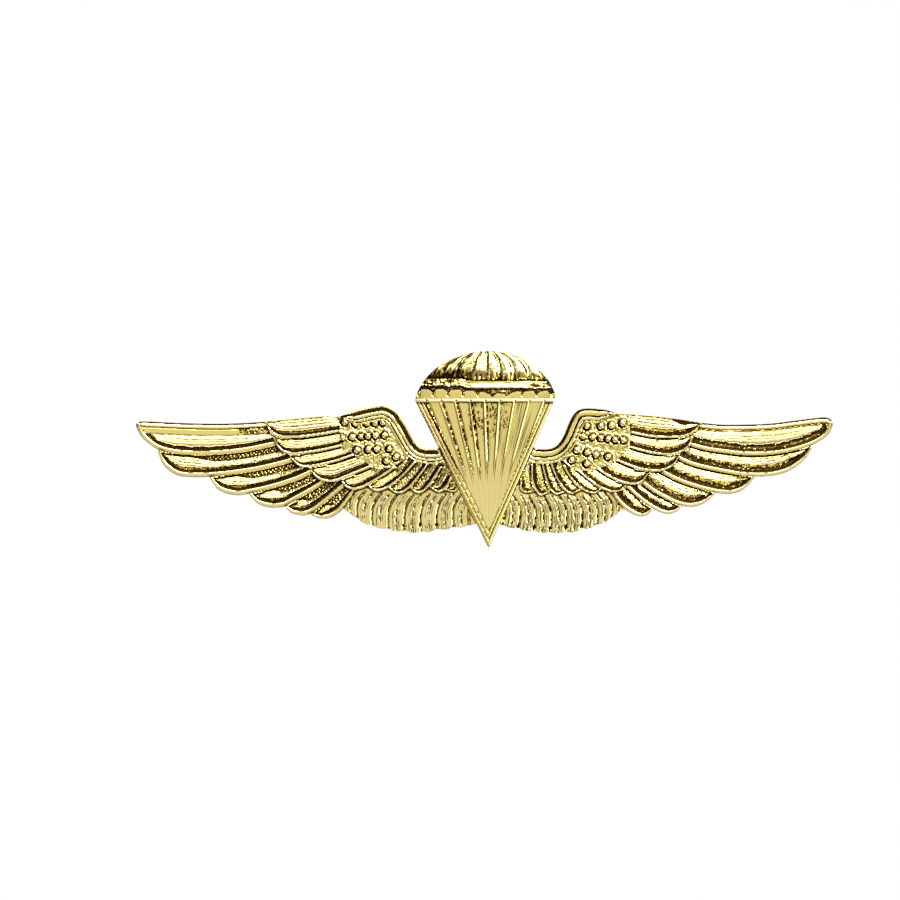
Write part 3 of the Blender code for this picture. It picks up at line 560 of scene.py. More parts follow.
def feather_relief(local, low, up, length, total, style, first):
    """One feather: a rim round its lower side and tip, a valley inside it, a vane and a barbed trough."""
    size = np.clip((low + up) / FULL_WIDTH, 0.25, 1)
    rim = style["rim"] * (0.45 + 0.55 * size)
    valley = style["valley"] * size ** 1.5 * (1 + 0.22 * wobble(local, 1.7) + 0.14 * wobble(local, 0.5))
    upper_rim = 0.4 * rim * (1 - smooth(0.2, 0.9, length)) + 1e-4
    rooted = smooth(TROUGH_START, TROUGH_END, length / total)
    at_tip, at_root = style["first_trough"] if first else style["trough"]
    trough = (at_tip + (at_root - at_tip) * rooted) * size
    from_valley = low - rim - valley
    from_trough = up - upper_rim - trough
    across = unit(from_valley / np.maximum(from_valley + from_trough, 1e-3))
    narrow = smooth(0.0, 0.5, from_valley + from_trough)
    vane, vane_shading = vane_relief(local, across, narrow, size, style)
    groove, groove_shading, specks = valley_relief(local, low, rim, valley, size, style, 0.5)
    furrow, furrow_shading = furrow_relief(local, low, up, length, 0 if first else rooted, size, style)
    border = style["base"] + style["rim_rise"] * plateau(
        np.clip(np.where(low < rim, 2 * low / rim, 2 * up / upper_rim) - 1, -1, 1))
    areas = [(low < rim) | (up < upper_rim), from_valley < 0, from_trough < 0]
    height = np.select(areas, [border, groove, furrow], vane)
    height = height + 0.06 * specks * ((low > rim) & (from_valley < 0))
    # Painted shading of each area: painted shade on the rim's outer part, in the valley and the trough, at
    # the vane's foot and along its quill strokes, and a painted highlight on the barbs' dots.
    return layered(height, np.select(areas, [rim_painted_shade(low, rim), groove_shading, furrow_shading], vane_shading))


def paint_feathers(relief, points, wing, edges, style):
    """Lays the feathers over the relief from the lowest to the topmost."""
    curves = [spline(edge, CURVE_STEP) for edge in edges]
    uppers = [spline(wing["top"], CURVE_STEP)] + curves[:-1]
    for curve, above in reversed(list(zip(curves, uppers))):
        low_corner = curve.min(0) - 0.5
        high_corner = np.maximum(curve.max(0) + (3.6, 3.6), curve[0])
        near = np.all((points > low_corner) & (points < high_corner), 1)
        low, side, length = against(curve, points[near])
        up, _, _ = against(above, points[near])
        over = side * -wing["side"] > 0
        chosen = np.flatnonzero(near)[over]
        relief[chosen] = feather_relief(points[chosen], low[over], up[over], length[over],
                                        lengths_along(curve)[-1], style, above is uppers[0])


def leading_edge(up, base):
    """The round leading edge of the longest feather: a steep outer side and a longer inner one."""
    rise = (up - LEAD_START) / (LEAD_END - LEAD_START)
    ridge = np.where(rise < 0.55, bump(unit(1 - rise / 0.55)), bump(unit((rise - 0.55) / 0.45)))
    # Painted shade along the outer edge, before the ridge starts.
    return base + 0.06 + 0.30 * ridge * (rise > 0), 0.05 * (rise < 0)


def top_vane(local, low, room, start, base):
    """Height and painted shading of the longest feather's ridge over the room it has, with two quill strokes
    that have painted shade along them.
    """
    across = unit((low - start) / np.maximum(room, 1e-3))
    narrow = smooth(0.0, 0.5, room)
    fall = 1 - 0.75 * unit((across - TOP_CREST) / (1 - TOP_CREST)) ** 1.3
    ridge = 0.30 * np.where(across < TOP_CREST, bump(1 - across / TOP_CREST), fall)
    broken = unit(0.5 + 0.9 * wobble(local, 1.3))
    height = base + narrow * (ridge - 0.06 * strokes(across, TOP_QUILLS, 0.03))
    return height, 0.10 * narrow * broken * strokes(across, TOP_QUILLS, 0.035)


def top_feather_relief(local, low, up, length, style):
    """The longest feather: rim, valley, ridge, flat band and a round leading edge."""
    base, rim, flat = style["base"], style["rim"], style["flat"]
    valley = 1.2 * style["valley"] * (1 + 0.18 * wobble(local, 1.7) + 0.10 * wobble(local, 0.5))
    border = base + style["rim_rise"] * plateau(np.clip(2 * low / rim - 1, -1, 1))
    edge, edge_shading = leading_edge(up, base)
    # The dapple: small dips in the flat band, painted darker as painted shade.
    dapple = style["dapple"] * smooth(-0.3, 0.3, wobble(local, 0.55)) * smooth(11.3, 11.7, length)
    band = base + 0.17 - 0.12 * strokes(up, (LEAD_END + 0.04, flat - 0.02), 0.04) - 0.5 * dapple
    groove, groove_shading, specks = valley_relief(local, low, rim, valley, 1, style, 0.3)
    vane, vane_shading = top_vane(local, low, low + up - rim - valley - flat, rim + valley, base)
    areas = [low < rim, up < LEAD_END, up < flat, low < rim + valley]
    height = np.select(areas, [border, edge, band, groove + 0.05 * specks], vane)
    # Painted shading of each area: painted shade on the rim's outer part, along the outer edge, in the
    # dapple of the flat band, in the valley, and along the ridge's quill strokes.
    painted_shadings = [rim_painted_shade(low, rim), edge_shading, dapple, groove_shading]
    return layered(height, np.select(areas, painted_shadings, vane_shading))


def paint_top_feather(relief, points, wing, style):
    near = np.flatnonzero(np.abs(points[:, 0]) > TOP_FEATHER_X)
    low, side, length = against(spline(wing["primaries"][0], CURVE_STEP), points[near])
    up, _, _ = against(spline(wing["top"], CURVE_STEP), points[near])
    over = side * -wing["side"] > 0
    relief[near[over]] = top_feather_relief(points[near], low, up, length, style)[over]


def short_feather_line(wing, share):
    """The curve from the top to the bottom of the short feathers at a share of their row."""
    top = at_share(spline(wing["short_tops"], AREA_STEP), share)
    bottom = at_share(spline(wing["short_bottoms"], AREA_STEP), share)
    places = [top + (bottom - top) * t + (wing["side"] * SHORT_BOW * math.sin(math.pi * t ** 0.8), 0)
              for t in (0, 0.25, 0.5, 0.75, 1)]
    return spline([tuple(place) for place in places], 0.2)


def nearest_line(points, lines):
    distance = np.full(len(points), np.inf)
    along = np.zeros(len(points))
    for line in lines:
        gap, _, length = against(line, points)
        closer = gap < distance
        distance[closer] = gap[closer]
        along[closer] = length[closer]
    return distance, along


def paint_short_feathers(relief, points, wing):
    """Short feathers with a dark stroke at each side and along the middle, grooved and with painted shade in
    it, and light barbs between.
    """
    near = (points[:, 1] < -2.0) & (points[:, 0] * wing["side"] > 0.3) & (np.abs(points[:, 0]) < 14.4)
    chosen = np.flatnonzero(near)
    local = points[chosen]
    shares = [SHORT_FIRST + SHORT_PITCH * k for k in range(SHORT_COUNT)]

    def lines(parts):
        return [short_feather_line(wing, share - SHORT_PITCH * part) for share in shares for part in parts]

    side, along = nearest_line(local, lines((0,)))
    middle, _ = nearest_line(local, lines((0.5,)))
    barb, _ = nearest_line(local, lines(SHORT_BARBS))
    uneven = wing["strokes"] * np.clip(0.4 + 1.2 * wobble(local, 1.6), 0, 1.2)
    patchy = wing["strokes"] * np.clip(0.3 - 1.2 * wobble(local, 1.5), 0, 1.1)
    broken = np.clip(0.75 + 0.6 * wobble(local, 1.9), 0.3, 1.2)
    groove = (0.03 + 0.10 * uneven) * hollow(side, 0, 0.08) + 0.10 * patchy * hollow(middle, 0, 0.07)
    fine = 0.045 * wing["strokes"] * hollow(barb, 0, 0.10) * broken
    lobe = 0.08 * bump(unit(1 - side / 0.8)) + 0.07 * smooth(1.4, 0.0, along)
    dots = 0.16 * hollow(along, 3.25, 0.14) * hollow(side, 0.12, 0.12) * unit(uneven)
    # Painted shade along the side and middle strokes, and the rest painted a little paler.
    dark = 0.05 * (uneven * hollow(side, 0, 0.09) + patchy * hollow(middle, 0, 0.07)) - 0.025
    relief[chosen] = layered(SHORT_BASE + lobe - groove + fine - dots, dark)


def bead_places(wing):
    places = []
    for start, end, count in wing["bead_rows"]:
        for k in range(count):
            share = k / max(1, count - 1)
            place = np.array(start) + (np.array(end) - np.array(start)) * share
            places.append(place + 0.13 * np.array([math.sin(9 * place[0]), math.sin(7 * place[0] + 2)]))
    return places


def paint_ground(relief, points, wing):
    """The scaly shoulder: round beads, each in the hollow of a scale; the ground painted darker in patches,
    a painted shadow on each bead's shaded side and a painted highlight on the beads.
    """
    chosen = np.flatnonzero(inside(points, np.array(wing["ground"])))
    local = points[chosen]
    ground = GROUND_HEIGHT + 0.05 * wobble(local, 0.8) + 0.02 * wobble(local, 0.37)
    # The ground painted darker in patches.
    painted_shading = 0.045 * unit(wobble(local, 0.9) + 0.2)
    for place in bead_places(wing):
        offset = local - place
        size = 0.27 + 0.03 * math.sin(11 * place[0] + 5 * place[1])
        radius = np.hypot(*offset.T) * (1 + 0.14 * wobble(local, 0.9))
        shaded = (0.5 - 0.5 * (offset @ (0.8, 0.5)) / np.maximum(radius, 1e-3)) ** 2
        ground = ground + 0.08 * hollow(radius, 0.56, 0.07) * (1.2 - shaded)
        ground = ground - 0.26 * hollow(radius, 0.37, 0.09) * shaded
        bead = GROUND_HEIGHT + 0.04 + 0.24 * bump(radius / size)
        ground = np.where(radius < size, np.maximum(bead, ground), ground)
        # A painted highlight on each bead, and a painted shadow in the hollow on its shaded side.
        painted_shading = np.where(radius < size + 0.02, -0.03, painted_shading + 0.05 * hollow(radius, 0.40, 0.12) * shaded)
    relief[chosen] = layered(ground, painted_shading)


def paint_band(relief, points, wing):
    """The leading edge from the shoulder to the parachute: four bands side by side."""
    curve = spline(wing["top"], CURVE_STEP)
    curve = curve[index_near(wing["band_start"], curve):]
    distance, _, length = against(curve, points)
    width = 1.45 * smooth(-0.4, 2.2, length)
    chosen = (distance < width) & (length > 0.02)
    share = distance[chosen] / np.maximum(width[chosen], 1e-3)
    band = np.full(chosen.sum(), GROUND_HEIGHT - 0.22)
    for centre, half, crest in wing["band"]:
        on_band = np.abs(share - centre) < half
        band = np.maximum(band, GROUND_HEIGHT - 0.16 + crest * plateau((share - centre) / half) * on_band)
    # Painted shade over the outer bands, nearest the top edge.
    relief[chosen] = layered(band, 0.07 * (share < 0.62))


def wing_relief(points, wing):
    relief = layered(np.full(len(points), EDGE_HEIGHT))
    paint_short_feathers(relief, points, wing)
    paint_feathers(relief, points, wing, wing["primaries"], wing["primary_style"])
    paint_top_feather(relief, points, wing, wing["primary_style"])
    paint_feathers(relief, points, wing, wing["coverts"], wing["covert_style"])
    paint_ground(relief, points, wing)
    paint_band(relief, points, wing)
    return relief


def badge_relief(points, seat):
    """Both wings, with the parachute's flat seat between them."""
    relief = layered(np.full(len(points), SEAT_HEIGHT))
    for wing in (LEFT_WING, RIGHT_WING):
        own = points[:, 0] * wing["side"] >= 0
        relief[own] = wing_relief(points[own], wing)
    relief[inside(points, seat)] = (SEAT_HEIGHT, 0)
    return relief


# ---- relief of the parachute


def gore_position(points):
    """Gores counted across the canopy, whole numbers on the seams, which run up to the crown."""
    x, z = points.T
    rise = np.clip((z - DOME_FOOT_Z) / (CROWN[1] + 0.25 - DOME_FOOT_Z), 0, 0.97)
    centre = GORE_CENTRE + (CROWN[0] - GORE_CENTRE) * rise
    return (x - centre) / (GORE_WIDTH * np.sqrt(1 - rise ** 2))


def cap_relief(points, dome, gore, seam, dip):
    """Height and painted shading of the gored dome, which sinks along its foot: painted shade along the foot
    and in streaks down its left side.
    """
    x, z = points.T
    streak = np.stack([gore, 0.25 * z], 1)
    above_foot = z - (DOME_FOOT_Z - dip) - 0.35 * wobble(streak, 1.3)
    foot = np.clip(1 - above_foot / FOOT_SHADE, 0, 1.3)
    height = dome - 0.26 + 0.26 * bump(2 * (gore - np.floor(gore)) - 1) + 0.07 * hollow(seam, 0, 0.07)
    height = height - 0.45 * foot ** 1.3 + 0.03 * wobble(streak, 0.55)
    left = smooth(-0.4, -2.6, x)
    # Painted shade along the foot, heavier on the left, and in streaks down the left side.
    painted_shading = (0.04 + 0.05 * left) * smooth(0.0, 0.4, foot + 0.3 * wobble(streak, 0.7))
    return height, painted_shading + 0.07 * left * smooth(-0.2, 0.4, wobble(streak, 0.8))


def ring_relief(points, dome, dip):
    """Height and painted shading of the rolled ring under the dome, which is rough and painted darker in
    blotches towards both ends, with painted shade where it is off the ring.
    """
    x, z = points.T
    rough = unit(smooth(-0.9, -1.9, x) + smooth(3.7, 4.4, x))
    uneven = (0.03 + 0.09 * rough) * wobble(points * (0.7, 1), 1.2)
    lift = (z - RING_Z + dip + RING_HALF - uneven) / (2 * RING_HALF)
    fall = 1 - 0.9 * unit((lift - RING_CREST) / (1 - RING_CREST)) ** 1.3
    roll = np.where(lift < RING_CREST, bump(unit(1 - lift / RING_CREST)), fall)
    on_ring = (lift > 0) & (lift < 1)
    height = dome - 0.20 + 0.32 * roll * on_ring
    height = height + rough * (0.08 * wobble(points, 1.5) - 0.14 * hollow(lift, 0.45, 0.12))
    blotch = smooth(-0.1, 0.2, wobble(points * (0.6, 1.2), 1.4))
    # Painted darker in blotches on the rough ends, and painted shade off the ring, mostly between it and the
    # dome.
    return height, np.where(on_ring, 0.14 * rough * blotch, 0.06)


def canopy_relief(points):
    """The gored dome, the rolled ring under it, the flat lobes of the skirt and the thin hem."""
    x, z = points.T
    dip = RING_DIP * smooth(-2.6, -1.0, x)
    up = (z - HEM_Z) / DOME_TALL
    dome = DOME_BASE + DOME_RISE * np.sqrt(unit(1 - (x / DOME_HALF_WIDTH) ** 2 - up ** 2))
    flatter = DOME_BASE + DOME_RISE * np.sqrt(1 - (x / SKIRT_HALF_WIDTH) ** 2 - np.clip(up, 0, 0.3) ** 2)
    gore = gore_position(points)
    seam = np.abs(gore - np.round(gore)) * GORE_WIDTH
    notch = np.abs(gore - np.floor(gore) - 0.5) * GORE_WIDTH
    shadow = smooth(-0.6, 0.4, x) * smooth(3.2, 2.4, x)
    top = LOBE_TOP_Z - 0.7 * dip - 0.32 * hollow(notch, 0, 0.22) - 0.22 * shadow + 0.09 * wobble(points, 1.2)
    cap, cap_shading = cap_relief(points, dome, gore, seam, dip)
    ring, ring_shading = ring_relief(points, dome, dip)
    groove = np.minimum(dome, flatter) - 0.32 + 0.06 * wobble(points, 0.9)
    skirt = flatter - 0.05 - 0.20 * hollow(notch, 0, 0.09) * smooth(6.7, 7.0, z)
    hem = flatter + 0.05 * bump((z - HEM_Z - 0.03) / HEM_HALF) - 0.10 * hollow(seam, 0, 0.10)
    areas = [z > DOME_FOOT_Z - dip, z > RING_Z - dip - RING_HALF, z > top, z > HEM_Z + HEM_HALF]
    # Painted shading of each part: the dome's and the ring's own, painted shade in the groove under the ring
    # and a little on the skirt, none on the hem.
    painted_shadings = [cap_shading, ring_shading, 0.05 + 0.05 * wobble(points, 0.8), 0.03]
    return layered(np.select(areas, [cap, ring, groove, skirt], hem), np.select(areas, painted_shadings, 0.0))


def fan_painted_shading(points):
    """Dark blotches painted in the middle of the fan, and a painted highlight in the strip under the hem
    that lights its shadow.
    """
    x, z = points.T
    dark_blotches = smooth(-1.9, -1.3, x) * smooth(1.7, 0.9, x) * smooth(1.0, 4.2, z)
    dark_blotches = dark_blotches + 0.8 * smooth(1.3, 1.7, x) * smooth(2.6, 2.2, x) * smooth(1.8, 4.2, z)
    blotch = wobble(points * (1, 0.45), 0.55) + 0.4 * wobble(points, 0.33)
    # Painted darker in the blotches, and a painted highlight under the hem.
    return 0.10 * dark_blotches * smooth(-0.1, 0.4, blotch) - 0.20 * hollow(z, HEM_Z - HEM_HALF, 0.17)


def cord_relief(gap, fade, left, uneven, ragged):
    """Height and painted shading a cord adds across a gap from it: the cord, its groove with painted shade
    on the fan's left side, two fine lines, and a painted highlight on the cord towards the tip.
    """
    height = (0.025 + 0.045 * fade + 0.02 * left * fade) * hollow(gap, 0, 0.085)
    shade = hollow(gap, 0.22, 0.06 + 0.06 * left * fade)
    # Painted shade in the groove on the fan's left side, and a painted highlight on the cord towards the
    # tip.
    return height - (0.022 * uneven * fade + 0.14 * left * fade * ragged) * shade, (
        0.09 * left * fade * shade * ragged - 0.05 * (1 - fade) * hollow(gap, 0, 0.08))


def border_relief(edge, left, fade):
    """The fan's double border, bold at the top of its left side, and the step down to the cords."""
    bold = 0.45 + 0.55 * left * fade
    ridges = bump((edge - 0.26) / 0.17) + bump((edge - 0.62) / 0.15)
    border = FAN_BASE + 0.06 + bold * (0.18 * ridges - 0.10)
    border = np.where(edge > BORDER_WIDTH, FAN_BASE + 0.02 - (0.03 + 0.14 * left) * fade, border)
    return border - 0.16 * left * fade * hollow(edge, 0.04, 0.06)


def fan_relief(points):
    """Nine cords and a double border, running together from the hem to the tip."""
    x, z = points.T
    drop = np.clip((HEM_Z - z) / (HEM_Z - LINE_TIP[1]), 0, 0.995)
    width = 2 * CANOPY[-1][0] * (1 - drop)
    share = (x - LINE_TIP[0] * drop) / width + 0.5
    fade = 1 - smooth(0.25, 0.6, drop)
    left = 1 - smooth(0.3, 0.7, share)
    uneven = np.clip(0.6 + 0.8 * wobble(np.stack([share * 30, drop * 2], 1), 2.3), 0.05, 1.2)
    ragged = np.clip(0.6 + 0.9 * wobble(points * (1, 0.5), 0.6), 0.1, 1.3)
    height = FAN_BASE + 0.24 * bump(2 * share - 1) * (1 - drop)
    # Painted shading of the fan: its dark blotches and the paler hem strip, a slight painted highlight
    # towards the tip, and each cord's painted shade and highlight; none on the border.
    painted_shading = fan_painted_shading(points) - 0.01 * (1 - fade)
    for place in CORD_SHARES:
        cord, cord_shading = cord_relief((share - place) * width, fade, left, uneven, ragged)
        lines = [hollow((share - place - part) * width, 0, 0.07) for part in FINE_LINES]
        height = height + cord + (0.012 + 0.033 * fade - 0.03 * left * fade) * uneven * sum(lines)
        painted_shading = painted_shading + cord_shading
    edge = np.minimum(share, 1 - share) * width
    outer = edge < BORDER_WIDTH + 0.16 * left
    height = np.where(outer, border_relief(edge, left, fade), height)
    return layered(height, np.where(outer, 0, painted_shading))


def parachute_relief(points):
    return np.where(points[:, 1:] > HEM_Z - HEM_HALF, canopy_relief(points), fan_relief(points))


# ---- meshes


def grid_inside(outline, spacing):
    """Staggered grid points inside the outline and clear of it."""
    low, high = outline.min(0), outline.max(0)
    rows = np.arange(low[1], high[1], spacing * math.sqrt(0.75))
    columns = np.arange(low[0], high[0], spacing)
    grid = np.array([(x + spacing / 2 * (j % 2), z) for j, z in enumerate(rows) for x in columns])
    grid = grid[inside(grid, outline)]
    tree = kdtree.KDTree(len(outline))
    for i, (x, z) in enumerate(outline):
        tree.insert((x, z, 0), i)
    tree.balance()
    clear = [tree.find((x, z, 0))[2] > GRID_MARGIN * spacing for x, z in grid]
    return grid[np.array(clear)]


def triangulated(outline, points, rings=()):
    """Triangles over the outline and its inner points, with the rings' sides kept as edges."""
    corners = [Vector(p) for p in outline]
    edges = []
    for ring in rings:
        first = len(corners) + len(points)
        points = np.concatenate([np.array(points).reshape(-1, 2), ring])
        edges += [(first + i, first + (i + 1) % len(ring)) for i in range(len(ring))]
    verts, _, faces, _, _, _ = delaunay_2d_cdt(
        corners + [Vector(p) for p in points], edges, [list(range(len(corners)))], 1, 1e-5)
    return np.array([tuple(v) for v in verts]), [list(face) for face in faces]


def sides_of(faces):
    return [(a, b) for face in faces for a, b in zip(face, face[1:] + face[:1])]


def boundary_loop(faces):
    """The ordered vertices round the triangulated area."""
    sides = set(sides_of(faces))
    after = {a: b for a, b in sides if (b, a) not in sides}
    loop = [next(iter(after))]
    while after[loop[-1]] != loop[0]:
        loop.append(after[loop[-1]])
    return loop


def recess_of(height, faces):
    """How far each vertex lies below its surroundings, in millimetres."""
    ends = np.array(sides_of(faces)).T
    count = len(height)
    degree = sum(np.bincount(end, minlength=count) for end in ends)
    blurred = height.copy()
    for _ in range(RECESS_ROUNDS):
        total = sum(np.bincount(end, blurred[other], count) for end, other in zip(ends, ends[::-1]))
        blurred = total / np.maximum(degree, 1)
    return blurred - height


def placed(name, data, location=(0, 0, 0)):
    obj = bpy.data.objects.new(name, data)
    obj.location = location
    bpy.context.scene.collection.objects.link(obj)
    return obj


def shade(mesh, sharp_angle):
    mesh.shade_smooth()
    mesh.set_sharp_from_angle(angle=math.radians(sharp_angle))


def struck_piece(name, outline, points, relief_of, back_rings, back_of):
    """A closed struck piece: relief in front, a plain back and the wall between them."""
    plan, faces = triangulated(outline, points)
    height, painted_shading = relief_of(plan).T
    # Painted shade and highlight of the gold: how far each point lies below its surroundings, plus the
    # relief's painted shading; the back gets none.
    painted_shade_and_highlight = recess_of(height, faces) + painted_shading
    loop = boundary_loop(faces)
    back_plan, back_faces = triangulated(plan[loop], [], back_rings)
    count = len(plan)
    front = np.stack([plan[:, 0], -height, plan[:, 1]], 1)
    back = np.stack([back_plan[:, 0], back_of(back_plan), back_plan[:, 1]], 1)
    polygons = faces + [[count + i for i in face[::-1]] for face in back_faces]
    for i in range(len(loop)):
        j = (i + 1) % len(loop)
        polygons.append([loop[j], loop[i], count + i, count + j])
    mesh = bpy.data.meshes.new(name)
    mesh.from_pydata((np.concatenate([front, back]) * MM).tolist(), [], polygons)
    mesh.update()
    attribute = mesh.attributes.new("painted_shade_and_highlight", "FLOAT", "POINT")
    attribute.data.foreach_set("value", np.concatenate([painted_shade_and_highlight, np.zeros(len(back))]).astype(np.float32))
    shade(mesh, FRONT_SHARP_ANGLE)
    return placed(name, mesh)


def square(half):
    return np.array([(-half, -half), (half, -half), (half, half), (-half, half)])


def wing_back(plan):
    """The flat back, with a square seat standing out to the cloth at its middle."""
    reach = np.abs(plan).max(1)
    return np.where(reach <= BACK_SEAT_HALF + 0.01, 0.0, BACK_Y)


def finish_piece(obj, materials, slot, body, *nodes):
    obj.data.materials.clear()
    obj.data.materials.append(materials[slot])
    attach(obj, body)
    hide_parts(*nodes)


def make_wings(materials):
    outline = badge_outline(OUTLINE_STEP)
    seat = grown(parachute_outline(AREA_STEP), SEAT_MARGIN)
    points = grid_inside(outline, FRONT_SPACING)
    hidden = grown(parachute_outline(AREA_STEP), -HIDDEN_INSET)
    points = points[~inside(points, hidden)]
    rings = [square(BACK_SEAT_HALF), square(BACK_SEAT_HALF + BACK_SEAT_SLOPE)]
    obj = struck_piece("wings_relief", outline, points, lambda p: badge_relief(p, seat), rings, wing_back)
    finish_piece(obj, materials, "gold_plate", "badge", "wing_plate")


def make_parachute(materials):
    outline = parachute_outline(OUTLINE_STEP)
    points = grid_inside(outline, PARACHUTE_SPACING)
    obj = struck_piece("parachute_relief", outline, points, parachute_relief, [],
                       lambda plan: np.full(len(plan), -SEAT_BACK))
    finish_piece(obj, materials, "gold_plate", "badge", "parachute")


# ---- fastenings on the back


def piece_from(name, bm, centre):
    bmesh.ops.recalc_face_normals(bm, faces=bm.faces)
    bmesh.ops.scale(bm, verts=bm.verts, vec=(MM, MM, MM))
    mesh = bpy.data.meshes.new(name)
    bm.to_mesh(mesh)
    bm.free()
    shade(mesh, FITTING_SHARP_ANGLE)
    return placed(name, mesh, Vector(centre) * MM)


def lathe(name, profile, closed, x):
    """The profile of (radius, y) turned about the line along y through x."""
    bm = bmesh.new()
    segments = LATHE_SEGMENTS
    angles = [2 * math.pi * k / segments for k in range(segments)]
    rings = []
    for radius, y in profile:
        places = [(radius * math.cos(a), y, radius * math.sin(a)) for a in angles] if radius else [(0, y, 0)]
        rings.append([bm.verts.new(place) for place in places])
    pairs = list(zip(rings, rings[1:])) + ([(rings[-1], rings[0])] if closed else [])
    for low, high in pairs:
        for k in range(segments):
            after = (k + 1) % segments
            sides = ((low, k), (low, after), (high, after), (high, k))
            bm.faces.new(list(dict.fromkeys(ring[at % len(ring)] for ring, at in sides)))
    return piece_from(name, bm, (x, 0, 0))


def bridge(bm, low, high, closed=False):
    """Quads between two rows of vertices, which are closed rings or not."""
    for k in range(len(low) - 1 + closed):
        after = (k + 1) % len(low)
        bm.faces.new([low[k], low[after], high[after], high[k]])


def rounded(profile, radius, fixed=()):
    """The profile with each corner replaced by a short arc, apart from the fixed ones."""
    result = []
    for i, corner in enumerate(profile):
        before, after = profile[i - 1], profile[(i + 1) % len(profile)]
        corner = np.array(corner, float)
        to_before, to_after = np.array(before) - corner, np.array(after) - corner
        reach = min(radius, 0.45 * np.hypot(*to_before), 0.45 * np.hypot(*to_after))
        if i in fixed or reach < 0.005:
            result.append(tuple(corner))
            continue
        start = corner + to_before / np.hypot(*to_before) * reach
        end = corner + to_after / np.hypot(*to_after) * reach
        for t in (0, 0.25, 0.5, 0.75, 1):
            result.append(tuple((1 - t) ** 2 * start + 2 * t * (1 - t) * corner + t * t * end))
    return result


def make_post(side, x, materials):
    """A nail on a flat pad, ringed for the clutch near its point, and the solder round its pad."""
    start = BACK_Y + GAP
    end = start + PAD_THICKNESS
    nail = [(0, start), (PAD_RADIUS, start), (PAD_RADIUS, end - 0.12), (PAD_RADIUS - 0.12, end),
            (SHANK_RADIUS + 0.25, end), (SHANK_RADIUS, end + 0.25), (SHANK_RADIUS, GROOVE_Y),
            (GROOVE_RADIUS, GROOVE_Y + 0.15), (GROOVE_RADIUS, GROOVE_Y + 0.45),
            (SHANK_RADIUS, GROOVE_Y + 0.6), (SHANK_RADIUS, SHANK_END_Y), (0, POINT_Y)]
    post = lathe(side + "_nail", rounded(nail, 0.07, (0, len(nail) - 1)), False, x)
    finish_piece(post, materials, "post_brass", "badge", side + "_post")
    ring = [(PAD_RADIUS + GAP, start), (SOLDER_RADIUS, start), (SOLDER_RADIUS - 0.2, start + 0.1),
            (PAD_RADIUS + 0.15, start + 0.3), (PAD_RADIUS + GAP, start + 0.35)]
    solder = lathe(side + "_solder_fillet", rounded(ring, 0.09), True, x)
    finish_piece(solder, materials, "solder", "badge", side + "_solder")


def cut_slots(cover):
    """Two slots through the cover's top, where the wings come out."""
    for x in (-PIVOT_X, PIVOT_X):
        bm = bmesh.new()
        bmesh.ops.create_cube(bm, size=1)
        bmesh.ops.scale(bm, verts=bm.verts, vec=(SLOT_WIDTH, SLOT_CUT, SLOT_LENGTH))
        upright = [e for e in bm.edges if abs(e.verts[0].co.y - e.verts[1].co.y) > 1]
        bmesh.ops.bevel(bm, geom=upright, offset=0.12, segments=3, affect="EDGES")
        cutter = piece_from("cutter", bm, (0, 0, 0))
        cutter.location = cover.location + Vector((x, PIVOT_Y, 0)) * MM
        cut = cover.modifiers.new("slot", "BOOLEAN")
        cut.operation = "DIFFERENCE"
        cut.solver = "EXACT"
        cut.object = cutter
        with bpy.context.temp_override(object=cover):
            bpy.ops.object.modifier_apply(modifier=cut.name)
        bpy.data.objects.remove(cutter)
    shade(cover.data, FITTING_SHARP_ANGLE)


def make_cover(side, x, materials):
    """Pressed cover: rolled lip under the base, flat top with two slots, and a boss for the post."""
    r, back, top = CLUTCH_RADIUS, CLUTCH_BACK_Y, COVER_TOP_Y
    inner = r - CLUTCH_WALL
    ceiling = top - CLUTCH_WALL
    lip = BASE_Y - GAP
    profile = [(HOLE_RADIUS, ceiling), (inner - 0.35, ceiling), (inner, ceiling - 0.35), (inner, lip),
               (inner - 0.4, lip), (inner - 0.4, back), (r - 0.2, back), (r, back + 0.2),
               (r, top - 0.6), (r - 0.15, top - 0.25), (r - 0.5, top), (1.5, top), (1.25, top + 0.2),
               (1.1, BOSS_TOP_Y - 0.15), (0.95, BOSS_TOP_Y), (HOLE_RADIUS, BOSS_TOP_Y)]
    cover = lathe(side + "_cover", rounded(profile, 0.14), True, x)
    cut_slots(cover)
    finish_piece(cover, materials, "clutch_brass", side + "_clutch", side + "_clutch_cover")


def make_base(side, x, materials):
    """Base disc held in the cover's lip, with an eyelet that guides the post."""
    edge = CLUTCH_RADIUS - CLUTCH_WALL - GAP
    top = BASE_Y + BASE_THICKNESS
    profile = [(HOLE_RADIUS, BASE_Y), (1.5, BASE_Y), (1.7, BASE_Y + 0.06), (edge, BASE_Y + 0.06),
               (edge, top), (1.35, top), (1.1, top + 0.1), (1.0, top + 0.35), (HOLE_RADIUS, top + 0.35)]
    base = lathe(side + "_base", rounded(profile, 0.08), True, x)
    finish_piece(base, materials, "clutch_brass", side + "_clutch", side + "_clutch_base")


